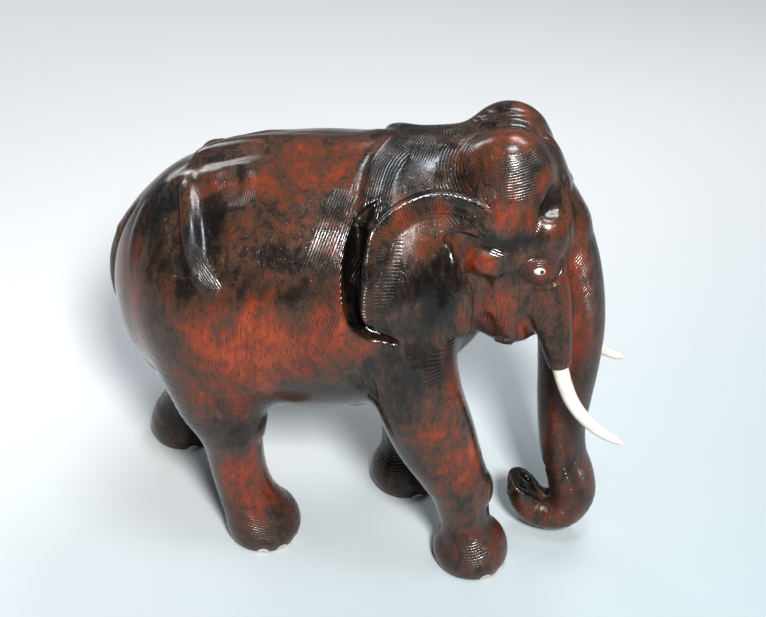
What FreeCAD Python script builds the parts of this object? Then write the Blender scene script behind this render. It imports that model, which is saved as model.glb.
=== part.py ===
import FreeCAD, Part
import os, math

# Carved wooden elephant with bone inlays, standing free on four soles.
# Millimetres. +X is the way it walks, +Y its left side, +Z up.
# Origin: on the ground, under the middle of the overall box.

doc = FreeCAD.newDocument("carved_elephant")
sheet = doc.addObject("Spreadsheet::Sheet", "Sizes")
V = FreeCAD.Vector

# ---------------------------------------------------------------- the sheet
_row = [0]
_cells = {}


def cell(alias, value):
    """One plain number in the sheet under a readable name."""
    if alias in _cells:
        return alias
    _row[0] += 1
    col = "ABCDEFGHIJ"[(_row[0] - 1) // 200]
    addr = "%s%d" % (col, (_row[0] - 1) % 200 + 1)
    sheet.set(addr, "%.4f" % value)
    sheet.setAlias(addr, alias)
    _cells[alias] = float(value)
    return alias


def bind(obj, prop, alias, unit=""):
    obj.setExpression(prop, "Sizes." + alias + unit)


def bind_base(obj, stem, x, y, z):
    """The position of an object, from three cells."""
    for a, v in zip("xyz", (x, y, z)):
        bind(obj, "Placement.Base." + a, cell(stem + "_pos_" + a, v))


# distance from the foreleg datum used in the tables below to the origin
X_SHIFT = 12.91


def X(x):
    return x + X_SHIFT


# ------------------------------------------------------------ small helpers
def ellipsoid(name, c, r, rot=None):
    """c centre, r half lengths along x, y, z."""
    o = doc.addObject("Part::Ellipsoid", name)
    if rot is not None:
        o.Placement = FreeCAD.Placement(V(0, 0, 0), rot)
    bind(o, "Radius2", cell(name + "_half_length", r[0]), " * 1 mm")
    bind(o, "Radius3", cell(name + "_half_width", r[1]), " * 1 mm")
    bind(o, "Radius1", cell(name + "_half_height", r[2]), " * 1 mm")
    bind_base(o, name, X(c[0]), c[1], c[2])
    return o


def ellipse(name, c, rx, ry, rot):
    """An ellipse whose longer half axis rx lies along the local x axis."""
    rx = max(rx, ry + 0.02)
    o = doc.addObject("Part::Ellipse", name)
    o.Placement = FreeCAD.Placement(V(0, 0, 0), rot)
    bind(o, "MajorRadius", cell(name + "_long", rx), " * 1 mm")
    bind(o, "MinorRadius", cell(name + "_short", ry), " * 1 mm")
    bind_base(o, name, X(c[0]), c[1], c[2])
    return o


def loft(name, sections):
    o = doc.addObject("Part::Loft", name)
    o.Sections = sections
    o.Solid = True
    o.Ruled = False
    o.Closed = False
    return o


def frame_rot(xdir, normal):
    n = V(*normal).normalize()
    x = V(*xdir)
    x = (x - n * x.dot(n)).normalize()
    y = n.cross(x)
    return FreeCAD.Rotation(x, y, n, "ZXY")


def cylinder(name, start, axis, radius, length):
    o = doc.addObject("Part::Cylinder", name)
    o.Placement = FreeCAD.Placement(V(0, 0, 0), FreeCAD.Rotation(V(0, 0, 1), V(*axis)))
    bind(o, "Radius", cell(name + "_radius", radius), " * 1 mm")
    bind(o, "Height", cell(name + "_length", length), " * 1 mm")
    bind_base(o, name, X(start[0]), start[1], start[2])
    return o


# ------------------------------------------------------------------- torso
# x, middle height, half width, half height of each upright section
TORSO = [(-216, 220, 4.5, 9), (-212.5, 218, 25, 34), (-203, 218, 47, 57), (-188, 220, 66, 76),
         (-165, 226, 85, 92), (-130, 232, 97.5, 102), (-90, 238, 103.5, 108), (-50, 241, 105.5, 110),
         (-10, 244, 101.5, 109), (30, 252, 88, 104), (58, 260, 68, 95), (80, 268, 48, 80), (94, 275, 28, 54)]
UPRIGHT = frame_rot((0, 0, 1), (1, 0, 0))
torso = loft("torso", [ellipse("torso_section_%02d" % i, (x, 0, z), h, w, UPRIGHT)
                       for i, (x, z, w, h) in enumerate(TORSO, 1)])

# -------------------------------------------------------------------- legs
# level sections from the sole up: height, x, y, half length, half width
LEGS = {
    "rear_right": [(46, -98, -56, 24.3, 24), (72, -104, -58, 23.6, 22.6), (105, -108, -61, 26, 24.2),
                   (125, -112, -63, 30.5, 28.6), (150, -117, -64, 40, 36), (182, -118, -61, 51, 42),
                   (215, -113, -55, 57, 41), (250, -104, -44, 48, 30)],
    "front_right": [(38, 84, -54, 22.2, 21.4), (56, 81, -55, 22.2, 21), (84, 76, -57, 26.6, 24.6),
                    (102, 69, -59, 30.5, 26.6), (134, 55, -62, 36, 29.6), (175, 43, -64, 39, 32.5),
                    (215, 32, -58, 40, 34), (250, 22, -44, 34, 26)],
    "front_left": [(38, 18, 43, 21.6, 21.2), (56, 17.5, 44, 21.2, 20.6), (84, 18.5, 48, 25, 24),
                   (102, 20, 51, 26.6, 26), (134, 24, 56, 31, 29), (175, 28, 60, 36, 32),
                   (215, 30, 57, 38, 33), (250, 24, 44, 34, 26)],
    "rear_left": [(46, -184, 66, 24.4, 24), (72, -173, 66, 26, 22.6), (105, -158, 66, 29.5, 25.6),
                  (125, -149, 66, 34, 30), (150, -140, 65, 41, 36), (182, -132, 61, 49, 42),
                  (215, -122, 55, 54, 41), (250, -110, 44, 46, 30)],
}
SOLES = {"rear_right": (-89, -50), "front_right": (88, -50), "front_left": (20, 41), "rear_left": (-192, 69)}
# the drum of each foot: height, radius
FOOT = [(0, 28.2), (4, 30.1), (12, 31.5), (20, 30.3), (27, 27.3)]
# the way the middle toe points, degrees to the left of +X
TOES = {"rear_right": -13.0, "front_right": 9.0, "front_left": 6.0, "rear_left": 5.0}

LEVEL = FreeCAD.Rotation(V(1, 0, 0), 0)
nail_span = cell("toenail_spacing_degrees", 33.0)
nail_radius = cell("toenail_radius", 5.4)
nail_depth = cell("toenail_inlay_depth", 4.6)
pin_radius = cell("toenail_pin_radius", 0.55)
pin_length = cell("toenail_pin_length", 9.0)

legs = []
foot_solids = {}
nails = []
pins = []
for leg, rows in LEGS.items():
    sx, sy = SOLES[leg]
    secs = []
    n = 0
    for z, r in FOOT:
        n += 1
        secs.append(ellipse("%s_foot_%02d" % (leg, n), (sx, sy, z), r, r, LEVEL))
    for z, x, y, rx, ry in rows:
        n += 1
        secs.append(ellipse("%s_leg_%02d" % (leg, n), (x, y, z), rx, ry, LEVEL))
    limb = loft(leg + "_leg", secs)
    foot_solids[leg] = limb
    # five half-moon toenails let into the edge of the sole, each held by a pin
    tools = []
    for k in range(5):
        ang = math.radians(TOES[leg] + _cells[nail_span] * (k - 2))
        d = (math.cos(ang), math.sin(ang), 0)
        r0 = 30.2 - _cells[nail_depth]
        label = "toenail_%s_%d" % (leg, k + 1)
        t = cylinder(label + "_bed", (sx + d[0] * r0, sy + d[1] * r0, 0.6), d, _cells[nail_radius], 9)
        r1 = 31.0 - _cells[pin_length]
        p = cylinder(label + "_pin_bore", (sx + d[0] * r1, sy + d[1] * r1, 3.1), d, _cells[pin_radius], _cells[pin_length] + 3)
        tools += [t, p]
        pins.append((label, leg, t, p))
    bed = doc.addObject("Part::MultiFuse", leg + "_toenail_beds")
    bed.Shapes = tools
    cutleg = doc.addObject("Part::Cut", leg + "_leg_with_beds")
    cutleg.Base = limb
    cutleg.Tool = bed
    legs.append(cutleg)

# -------------------------------------------------------------------- head
head = [
    ellipsoid("skull", (86, 0, 316), (54, 54, 52)),
    ellipsoid("right_dome", (92, -25, 353), (31, 27, 30.8)),
    ellipsoid("left_dome", (92, 25, 353), (31, 27, 30.8)),
    ellipsoid("right_cheek", (107, -30, 299), (35, 24, 36)),
    ellipsoid("left_cheek", (107, 30, 299), (35, 24, 36)),
    ellipsoid("right_jowl", (99, -27, 252), (33, 24, 41)),
    ellipsoid("left_jowl", (99, 27, 252), (33, 24, 41)),
    ellipsoid("right_temple", (81, -44, 294), (19, 11.5, 9.5)),
    ellipsoid("left_temple", (81, 44, 294), (19, 11.5, 9.5)),
    ellipsoid("crown", (90, 0, 346), (36, 35, 32.5)),
    ellipsoid("nape", (22, 0, 311), (76, 48, 55.5)),
    ellipsoid("forehead", (107, 0, 338), (22, 23, 32)),
    ellipsoid("chin", (108, 0, 232), (24, 26, 18)),
    ellipsoid("lower_lip", (122, 0, 216), (14, 13, 10)),
]

# ------------------------------------------------------------------- trunk
# centre line x, z, half width, half depth
TRUNK = [(106, 308, 30, 31), (119, 297, 33, 34), (130, 270, 32, 33), (139, 243, 28.6, 30), (147, 212, 26, 27.2),
         (153, 176, 23, 25), (153, 142, 21, 23.5), (152, 112, 20, 22), (157, 84, 20, 21.5), (163.5, 62, 20, 21.5),
         (165.5, 42, 19.5, 21), (158, 27, 18, 20), (145, 22.5, 16.5, 18.5), (133, 28, 15, 17), (126, 41, 13.5, 15.5),
         (124, 55, 12.5, 14.5)]
secs = []
for i, (x, z, wy, wd) in enumerate(TRUNK):
    a = TRUNK[max(i - 1, 0)]
    b = TRUNK[min(i + 1, len(TRUNK) - 1)]
    tx, tz = b[0] - a[0], b[1] - a[1]
    nrm = (tx, 0, tz)
    # the long half axis lies in the plane of the curl, square to the centre line
    secs.append(ellipse("trunk_section_%02d" % (i + 1), (x, 0, z), wd, wy, frame_rot((-tz, 0, tx), nrm)))
trunk = loft("trunk", secs)
# the cut end of the trunk: two nostrils and the finger at its front edge
TIP = (124, 0, 55)
tip_axis = V(TRUNK[-1][0] - TRUNK[-2][0], 0, TRUNK[-1][1] - TRUNK[-2][1]).normalize()
nostrils = []
for side, sy in (("right", -4.6), ("left", 4.6)):
    s = V(TIP[0], sy, TIP[2]) - tip_axis * 9.0
    nostrils.append(cylinder(side + "_nostril", (s.x - 1.0, s.y, s.z), tip_axis, 2.6, 12))

# --------------------------------------------------------------- tail, back
# x, y, z, half thickness
TAIL = [(-136, 0, 306, 8), (-160, 0, 300, 10), (-182, 0, 283, 11.5), (-202, 0, 258, 11.8), (-213, 0, 230, 11.2),
        (-215, 0, 202, 9.6), (-209, 1, 176, 8), (-198, 3, 150, 7.2), (-187, 6, 126, 8.5), (-179, 9, 104, 7.4),
        (-174, 11, 90, 3.6)]
secs = []
for i, (x, y, z, r) in enumerate(TAIL):
    a = TAIL[max(i - 1, 0)]
    b = TAIL[min(i + 1, len(TAIL) - 1)]
    nrm = (b[0] - a[0], b[1] - a[1], b[2] - a[2])
    secs.append(ellipse("tail_section_%02d" % (i + 1), (x, y, z), r, r, frame_rot((0, 1, 0), nrm)))
tail = loft("tail", secs)
shoulders = [
    ellipsoid("right_shoulder", (28, -51, 262), (44, 43, 70)),
    ellipsoid("left_shoulder", (28, 51, 262), (44, 43, 70)),
]

# -------------------------------------------------------------------- ears
# level sections of the right ear: height, rear x, rear |y|, front x, front |y|, half thickness
EAR = [(236, 50, 88, 71, 74, 3.2), (243, 34, 95, 76, 68, 4.4), (252, 12, 103, 78, 64, 4.8), (264, 0, 106, 79, 61, 5.0),
       (284, -2, 104.5, 79, 59, 5.0), (304, 0, 101, 79, 57, 5.0), (320, 4, 95, 79, 55, 4.8), (333, 13, 87, 79, 54, 4.6),
       (341, 24, 79, 75, 54, 4.4), (346, 38, 71, 64, 57, 3.4)]
# the left ear was carved a little lower at its top than the right one
EAR_DROP = 9.0
ears = []
for side, s in (("right", -1), ("left", 1)):
    secs = []
    for i, (z, xr, yr, xf, yf, t) in enumerate(EAR, 1):
        if s > 0:
            z = z - EAR_DROP * max(0.0, (z - 262) / 84.0)
        c = ((xr + xf) / 2.0, s * (yr + yf) / 2.0, z)
        half = math.hypot(xf - xr, yf - yr) / 2.0
        ang = math.degrees(math.atan2(s * (yf - yr), xf - xr))
        secs.append(ellipse("%s_ear_section_%02d" % (side, i), c, half, t, FreeCAD.Rotation(V(0, 0, 1), ang)))
    ears.append(loft(side + "_ear", secs))

# ---------------------------------------------- tusk sheaths, sockets, tusks
# the wooden sheath: x, |y|, z, half thickness, from the cheek to the tusk's root
SHEATH = [(122, 32, 285, 16.5), (130, 36, 255, 15.5), (137.5, 39.5, 225, 14.4), (143.3, 43.4, 203, 12.8)]
# the tusk: x, |y|, z, radius
TUSK = [(143.9, 43.7, 201.4, 6.3), (149.6, 46.6, 186, 6.0), (157, 50, 172.5, 5.6), (167.6, 53.2, 161, 5.1),
        (180, 56, 153, 4.4), (190, 57.5, 148.6, 3.6), (196, 58.3, 146.6, 2.6), (199.6, 58.6, 145.6, 1.0)]
socket_depth = cell("tusk_socket_depth", 24.0)
socket_radius = cell("tusk_socket_radius", 4.0)
sheaths, sockets, tusks = [], [], []
for side, s in (("right", -1), ("left", 1)):
    secs = []
    for i, (x, y, z, r) in enumerate(SHEATH):
        a = SHEATH[max(i - 1, 0)]
        b = SHEATH[min(i + 1, len(SHEATH) - 1)]
        nrm = (b[0] - a[0], s * (b[1] - a[1]), b[2] - a[2])
        secs.append(ellipse("%s_sheath_section_%02d" % (side, i + 1), (x, s * y, z), r + 0.6, r, frame_rot((1, 0, 0), nrm)))
    sheaths.append(loft(side + "_sheath", secs))
    end, prev = SHEATH[-1], SHEATH[-2]
    ax = V(end[0] - prev[0], s * (end[1] - prev[1]), end[2] - prev[2]).normalize()
    base = V(end[0], s * end[1], end[2]) - ax * _cells[socket_depth]
    so = cylinder(side + "_tusk_socket", (base.x, base.y, base.z), ax, _cells[socket_radius], _cells[socket_depth] + 4)
    sockets.append(so)
    # the tusk: a curved, tapering horn with a straight round tenon that fills the socket
    secs = []
    rows = [(end[0], end[1], end[2], 6.35)] + TUSK[1:]
    for i, (x, y, z, r) in enumerate(rows):
        a = rows[max(i - 1, 0)]
        b = rows[min(i + 1, len(rows) - 1)]
        nrm = (b[0] - a[0], s * (b[1] - a[1]), b[2] - a[2])
        if i == 0:
            nrm = (ax.x, ax.y, ax.z)
        secs.append(ellipse("%s_tusk_section_%02d" % (side, i + 1), (x, s * y, z), r, r, frame_rot((1, 0, 0), nrm)))
    horn = loft(side + "_tusk_horn", secs)
    tenon = cylinder(side + "_tusk_tenon", (base.x, base.y, base.z), ax, _cells[socket_radius], _cells[socket_depth] + 3)
    t = doc.addObject("Part::Fuse", "tusk_" + side)
    t.Base = horn
    t.Tool = tenon
    tusks.append(t)

# -------------------------------------------------------------------- eyes
eye_tools, eyes, pupils = [], [], []
for side, s in (("right", -1), ("left", 1)):
    # the eye looks out, forward and a little up
    look = V(0.42, s * 0.88, 0.10).normalize()
    rot = frame_rot((look.y * -s * s, look.x * s * s, 0.0), (look.x, look.y, look.z))
    c = (121.8, s * 50.6, 288)
    e = doc.addObject("Part::Ellipsoid", "eye_blank_" + side)
    e.Placement = FreeCAD.Placement(V(0, 0, 0), rot)
    bind(e, "Radius2", cell("eye_half_length_" + side, 5.3), " * 1 mm")
    bind(e, "Radius3", cell("eye_half_height_" + side, 3.6), " * 1 mm")
    bind(e, "Radius1", cell("eye_half_depth_" + side, 3.2), " * 1 mm")
    bind_base(e, "eye_blank_" + side, X(c[0]), c[1], c[2])
    st = V(*c) + look * 1.0
    p = cylinder("pupil_bore_" + side, (st.x, st.y, st.z), look, 1.5, 4)
    cap = cylinder("pupil_blank_" + side, (st.x, st.y, st.z), look, 1.5, 2.5)
    ee = doc.addObject("Part::Cut", "eye_" + side)
    ee.Base = e
    ee.Tool = p
    eyes.append(ee)
    cap.Label = "pupil_" + side
    pupils.append(cap)
    eye_tools.append(e)

# ------------------------------------------------------- the carved body
rough = doc.addObject("Part::MultiFuse", "body_rough")
rough.Shapes = [torso] + shoulders + legs + head + [trunk, tail] + ears + sheaths
holes = doc.addObject("Part::Compound", "body_holes")
holes.Links = sockets + eye_tools + nostrils
body = doc.addObject("Part::Cut", "carved_body")
body.Base = rough
body.Tool = holes

# ------------------------------------------------- toenails and their pins
# a nail is the part of the foot's drum that its round bed takes out, so it
# sits flush; its pin runs through it into the wood behind
pin_blanks = []
for label, leg, bed, bore in pins:
    blank = doc.addObject("Part::Common", label + "_blank")
    blank.Base = foot_solids[leg]
    blank.Tool = bed
    nail = doc.addObject("Part::Cut", label)
    nail.Base = blank
    nail.Tool = bore
    nails.append(nail)
    pin = doc.addObject("Part::Common", label + "_pin")
    pin.Base = foot_solids[leg]
    pin.Tool = bore
    pin_blanks.append(pin)
pin_group = doc.addObject("Part::Compound", "toenail_pins")
pin_group.Links = pin_blanks

# ------------------------------------------------------------ build, export
sub_parts = [body] + tusks + eyes + pupils + nails + [pin_group]
doc.recompute()

for o in doc.Objects:
    if "Invalid" in o.State or "Error" in o.State:
        raise RuntimeError("%s did not build: %s" % (o.Label, o.State))
for o in sub_parts:
    if o.Shape.isNull() or not o.Shape.isValid():
        raise RuntimeError("%s has no valid shape" % o.Label)
    if not o.Shape.Solids:
        raise RuntimeError("%s holds no solid" % o.Label)
    if o is not pin_group and len(o.Shape.Solids) != 1:
        raise RuntimeError("%s is %d solids" % (o.Label, len(o.Shape.Solids)))
if len(pin_group.Shape.Solids) != 20:
    raise RuntimeError("the pin group holds %d pins" % len(pin_group.Shape.Solids))

os.makedirs("parts", exist_ok=True)
box = FreeCAD.BoundBox()
for o in sub_parts:
    o.Shape.exportStep("parts/%s.step" % o.Label)
    box.add(o.Shape.BoundBox)
    print("%-28s %9.1f mm3  %6.1f x %6.1f x %6.1f" % (
        o.Label, o.Shape.Volume, o.Shape.BoundBox.XLength, o.Shape.BoundBox.YLength, o.Shape.BoundBox.ZLength))
print("overall x %.2f..%.2f  y %.2f..%.2f  z %.2f..%.2f" % (box.XMin, box.XMax, box.YMin, box.YMax, box.ZMin, box.ZMax))
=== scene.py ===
import math

import bpy
from mathutils import Matrix, Vector

import numpy as np


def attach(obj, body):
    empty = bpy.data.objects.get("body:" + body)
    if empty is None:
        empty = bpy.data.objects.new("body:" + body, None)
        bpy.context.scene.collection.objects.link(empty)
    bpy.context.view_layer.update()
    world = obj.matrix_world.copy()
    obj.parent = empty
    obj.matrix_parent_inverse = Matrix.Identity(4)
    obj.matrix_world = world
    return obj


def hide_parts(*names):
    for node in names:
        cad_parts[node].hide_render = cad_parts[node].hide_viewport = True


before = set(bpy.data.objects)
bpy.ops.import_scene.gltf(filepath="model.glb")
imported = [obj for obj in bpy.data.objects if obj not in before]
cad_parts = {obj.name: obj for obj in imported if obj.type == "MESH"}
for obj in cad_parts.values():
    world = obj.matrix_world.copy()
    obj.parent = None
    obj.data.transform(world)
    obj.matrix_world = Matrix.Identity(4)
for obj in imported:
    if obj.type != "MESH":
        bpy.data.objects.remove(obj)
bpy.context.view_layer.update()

# ---------------------------------------------------------------- shape toolkit
# The carved body is one closed form. It is written as a signed distance in
# millimetres, in the design axes of the part: +X the head, +Z up, and the row
# frame is the same axes with x moved by SHIFT.

SHIFT = 12.91


def smoothstep(a, b, x):
    t = np.clip((x - a) / (b - a), 0, 1)
    return t * t * (3 - 2 * t)


def pchip(xs, ys, x):
    """Monotone cubic through (xs, ys), flat beyond the ends."""
    xs = np.asarray(xs, float)
    ys = np.asarray(ys, float)
    h = np.diff(xs)
    d = np.diff(ys) / h
    m = np.zeros_like(ys)
    w1 = 2 * h[1:] + h[:-1]
    w2 = h[1:] + 2 * h[:-1]
    safe0 = np.where(d[:-1] == 0, 1, d[:-1])
    safe1 = np.where(d[1:] == 0, 1, d[1:])
    m[1:-1] = np.where(d[:-1] * d[1:] > 0, (w1 + w2) / (w1 / safe0 + w2 / safe1), 0)
    m[0] = d[0]
    m[-1] = d[-1]
    x = np.clip(x, xs[0], xs[-1])
    i = np.clip(np.searchsorted(xs, x, side="right") - 1, 0, len(xs) - 2)
    t = (x - xs[i]) / h[i]
    return (
        (2 * t**3 - 3 * t**2 + 1) * ys[i]
        + (t**3 - 2 * t**2 + t) * h[i] * m[i]
        + (-2 * t**3 + 3 * t**2) * ys[i + 1]
        + (t**3 - t**2) * h[i] * m[i + 1]
    )


def rotm(rx=0, ry=0, rz=0):
    rx, ry, rz = np.radians([rx, ry, rz])
    X = np.array([[1, 0, 0], [0, np.cos(rx), -np.sin(rx)], [0, np.sin(rx), np.cos(rx)]])
    Y = np.array([[np.cos(ry), 0, np.sin(ry)], [0, 1, 0], [-np.sin(ry), 0, np.cos(ry)]])
    Z = np.array([[np.cos(rz), -np.sin(rz), 0], [np.sin(rz), np.cos(rz), 0], [0, 0, 1]])
    return Z @ Y @ X


def catmull(P, n):
    P = np.asarray(P, float)
    L = np.concatenate([[0], np.cumsum(np.sqrt(np.linalg.norm(np.diff(P[:, :3], axis=0), axis=1)))])
    out = []
    t = np.linspace(0, L[-1], n)
    for k in range(P.shape[1]):
        y = P[:, k]
        m = np.zeros(len(y))
        m[1:-1] = (y[2:] - y[:-2]) / (L[2:] - L[:-2])
        m[0] = (y[1] - y[0]) / (L[1] - L[0])
        m[-1] = (y[-1] - y[-2]) / (L[-1] - L[-2])
        i = np.clip(np.searchsorted(L, t, side="right") - 1, 0, len(L) - 2)
        h = L[i + 1] - L[i]
        u = (t - L[i]) / h
        out.append(
            (2 * u**3 - 3 * u**2 + 1) * y[i]
            + (u**3 - 2 * u**2 + u) * h * m[i]
            + (-2 * u**3 + 3 * u**2) * y[i + 1]
            + (u**3 - u**2) * h * m[i + 1]
        )
    return np.stack(out, -1)


class Ell:
    def __init__(s, c, r, rot=(0, 0, 0)):
        s.c = np.array(c, float)
        s.r = np.array(r, float)
        s.R = rotm(*rot)
        e = np.abs(s.R) @ s.r
        s.lo = s.c - e
        s.hi = s.c + e

    def d(s, P):
        q = (P - s.c) @ s.R
        k0 = np.sqrt(((q / s.r) ** 2).sum(-1))
        k1 = np.sqrt(((q / s.r**2) ** 2).sum(-1))
        return k0 * (k0 - 1) / np.maximum(k1, 1e-6)


class Tube:
    """A limb with an elliptic section: stations (x, y, z, ra, rb), where rb lies along side."""

    def __init__(s, st, side=(0, 1, 0), n=48, cap=(1, 1)):
        S = catmull(st, n)
        s.side = np.array(side, float) / np.linalg.norm(side)
        s.cap = cap
        s.p = S[:, :3]
        s.ra = S[:, 3]
        s.rb = S[:, 4]
        m = np.maximum(s.ra, s.rb)[:, None]
        s.lo = (s.p - m).min(0)
        s.hi = (s.p + m).max(0)
        s.len = np.concatenate([[0], np.cumsum(np.linalg.norm(np.diff(s.p, axis=0), axis=1))])

    def param(s, P):
        best = np.full(P.shape[:-1], 1e18, np.float32)
        T = np.zeros(P.shape[:-1], np.float32)
        for i in range(len(s.p) - 1):
            a, b = s.p[i], s.p[i + 1]
            ab = b - a
            q = P - a
            t = np.clip((q @ ab) / (ab @ ab), 0, 1)
            dd = ((q - t[..., None] * ab) ** 2).sum(-1)
            m = dd < best
            best = np.where(m, dd, best)
            T = np.where(m, i + t, T)
        return T

    def frame(s, P):
        """Station, and the offsets across (u), sideways (v) and along (w) the limb."""
        T = s.param(P)
        i = np.clip(T.astype(int), 0, len(s.p) - 2)
        f = T - i
        c = s.p[i] + f[..., None] * (s.p[i + 1] - s.p[i])
        tg = s.p[i + 1] - s.p[i]
        tg = tg / np.linalg.norm(tg, axis=-1, keepdims=True)
        ra = s.ra[i] + f * (s.ra[i + 1] - s.ra[i])
        rb = s.rb[i] + f * (s.rb[i + 1] - s.rb[i])
        q = P - c
        b = s.side - (tg @ s.side)[..., None] * tg
        b /= np.linalg.norm(b, axis=-1, keepdims=True)
        a = np.cross(b, tg)
        arc = s.len[i] + f * (s.len[i + 1] - s.len[i])
        return T, arc, (q * a).sum(-1), (q * b).sum(-1), (q * tg).sum(-1), ra, rb

    def d(s, P):
        T, arc, u, v, w, ra, rb = s.frame(P)
        rc = np.minimum(ra, rb)
        capr = np.where(T <= 0, rc * s.cap[0], rc * s.cap[1])
        k0 = np.sqrt((u / ra) ** 2 + (v / rb) ** 2 + (w / capr) ** 2)
        k1 = np.sqrt((u / ra**2) ** 2 + (v / rb**2) ** 2 + (w / capr**2) ** 2)
        return k0 * (k0 - 1) / np.maximum(k1, 1e-6)


class Barrel:
    """The trunk of the body, lofted along X: stations (x, centre z, half width, height above, height below)."""

    def __init__(s, st):
        s.st = np.array(st, float)
        s.lo = np.array([s.st[0, 0], -s.st[:, 2].max(), (s.st[:, 1] - s.st[:, 4]).min()])
        s.hi = np.array([s.st[-1, 0], s.st[:, 2].max(), (s.st[:, 1] + s.st[:, 3]).max()])

    def F(s, P):
        x = P[..., 0]
        st = s.st
        zc = pchip(st[:, 0], st[:, 1], x)
        w = pchip(st[:, 0], st[:, 2], x)
        ht = pchip(st[:, 0], st[:, 3], x)
        hb = pchip(st[:, 0], st[:, 4], x)
        dz = P[..., 2] - zc
        h = np.where(dz > 0, ht, hb)
        return np.sqrt((P[..., 1] / w) ** 2 + (dz / h) ** 2) - 1, np.minimum(w, h)

    def d(s, P):
        F, m = s.F(P)
        e = 0.5
        g = 0
        for k in range(3):
            o = np.zeros(3)
            o[k] = e
            g = g + ((s.F(P + o)[0] - s.F(P - o)[0]) / (2 * e)) ** 2
        d = F / np.sqrt(g + 1e-9)
        x = P[..., 0]
        d = np.maximum(d, np.maximum(s.st[0, 0] - x, x - s.st[-1, 0]))
        return np.clip(d, -m, 60)


def smin(a, b, k):
    if k <= 0:
        return np.minimum(a, b)
    h = np.maximum(k - np.abs(a - b), 0) / k
    return np.minimum(a, b) - h * h * h * k * (1 / 6.0)


def smax(a, b, k):
    return -smin(-a, -b, k)


class Field:
    """Sample points and the distance at each, built up one form at a time."""

    def __init__(s, P):
        s.P = P
        s.D = np.full(len(P), 40.0)

    def block(s, lo, hi, pad):
        lo = np.asarray(lo, float) - pad
        hi = np.asarray(hi, float) + pad
        k = np.flatnonzero((s.P[:, 0] > lo[0]) & (s.P[:, 0] < hi[0]))
        Q = s.P[k]
        m = (Q[:, 1] > lo[1]) & (Q[:, 1] < hi[1]) & (Q[:, 2] > lo[2]) & (Q[:, 2] < hi[2])
        return k[m], Q[m]

    def add(s, prim, k=0.0):
        i, P = s.block(prim.lo, prim.hi, k + 8)
        s.D[i] = smin(s.D[i], prim.d(P), k)

    def cut(s, prim, k=0.0):
        i, P = s.block(prim.lo, prim.hi, k + 8)
        s.D[i] = smax(s.D[i], -prim.d(P), k)


def poly_dist(P, pts):
    """Distance to a polyline and the share of its length at the nearest point."""
    pts = np.asarray(pts, float)
    L = np.concatenate([[0], np.cumsum(np.linalg.norm(np.diff(pts, axis=0), axis=1))])
    best = np.full(len(P), 1e18)
    T = np.zeros(len(P))
    for i in range(len(pts) - 1):
        a = pts[i]
        ab = pts[i + 1] - a
        q = P - a
        t = np.clip((q @ ab) / (ab @ ab), 0, 1)
        dd = ((q - t[:, None] * ab) ** 2).sum(-1)
        m = dd < best
        best = np.where(m, dd, best)
        T = np.where(m, L[i] + t * (L[i + 1] - L[i]), T)
    return np.sqrt(best), T / L[-1]


class Carve:
    """Gouge strokes and soft bumps on the cells near the surface."""

    def __init__(s, g, reach=11):
        s.g = g
        s.idx = np.flatnonzero(np.abs(g.D) < reach)
        s.P = g.P[s.idx]
        s.D = g.D[s.idx]

    def near(s, lo, hi):
        k = np.flatnonzero((s.P[:, 0] > lo[0]) & (s.P[:, 0] < hi[0]))
        Q = s.P[k]
        return k[(Q[:, 1] > lo[1]) & (Q[:, 1] < hi[1]) & (Q[:, 2] > lo[2]) & (Q[:, 2] < hi[2])]

    def stroke(s, pts, r, h, t0=0.15, t1=0.15, mirror=True, closed=False):
        """Raises (h > 0) or lowers (h < 0) the surface along a polyline, over a half width r."""
        pts = np.asarray(pts, float)
        if closed:
            pts = np.concatenate([pts, pts[:1]])
        elif len(pts) > 2:
            pts = catmull(pts, 4 * len(pts))
        for side in (1, -1) if mirror else (1,):
            q = pts * np.array([1, side, 1])
            k = s.near(q.min(0) - r, q.max(0) + r)
            d, t = poly_dist(s.P[k], q)
            w = np.clip(1 - (d / r) ** 2, 0, 1) ** 2
            if not closed:
                if t0 > 0:
                    w = w * smoothstep(0, t0, t)
                if t1 > 0:
                    w = w * smoothstep(1, 1 - t1, t)
            s.D[k] -= h * w

    def bump(s, c, r, h, mirror=True, rot=(0, 0, 0)):
        for side in (1, -1) if mirror else (1,):
            e = Ell(np.array(c, float) * np.array([1, side, 1]), r, rot if side > 0 else (-rot[0], rot[1], -rot[2]))
            k = s.near(e.lo, e.hi)
            q = (s.P[k] - e.c) @ e.R
            t = np.clip(1 - ((q / e.r) ** 2).sum(-1), 0, 1)
            s.D[k] -= h * t * t * (3 - 2 * t)

    def done(s):
        s.g.D[s.idx] = s.D


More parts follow.
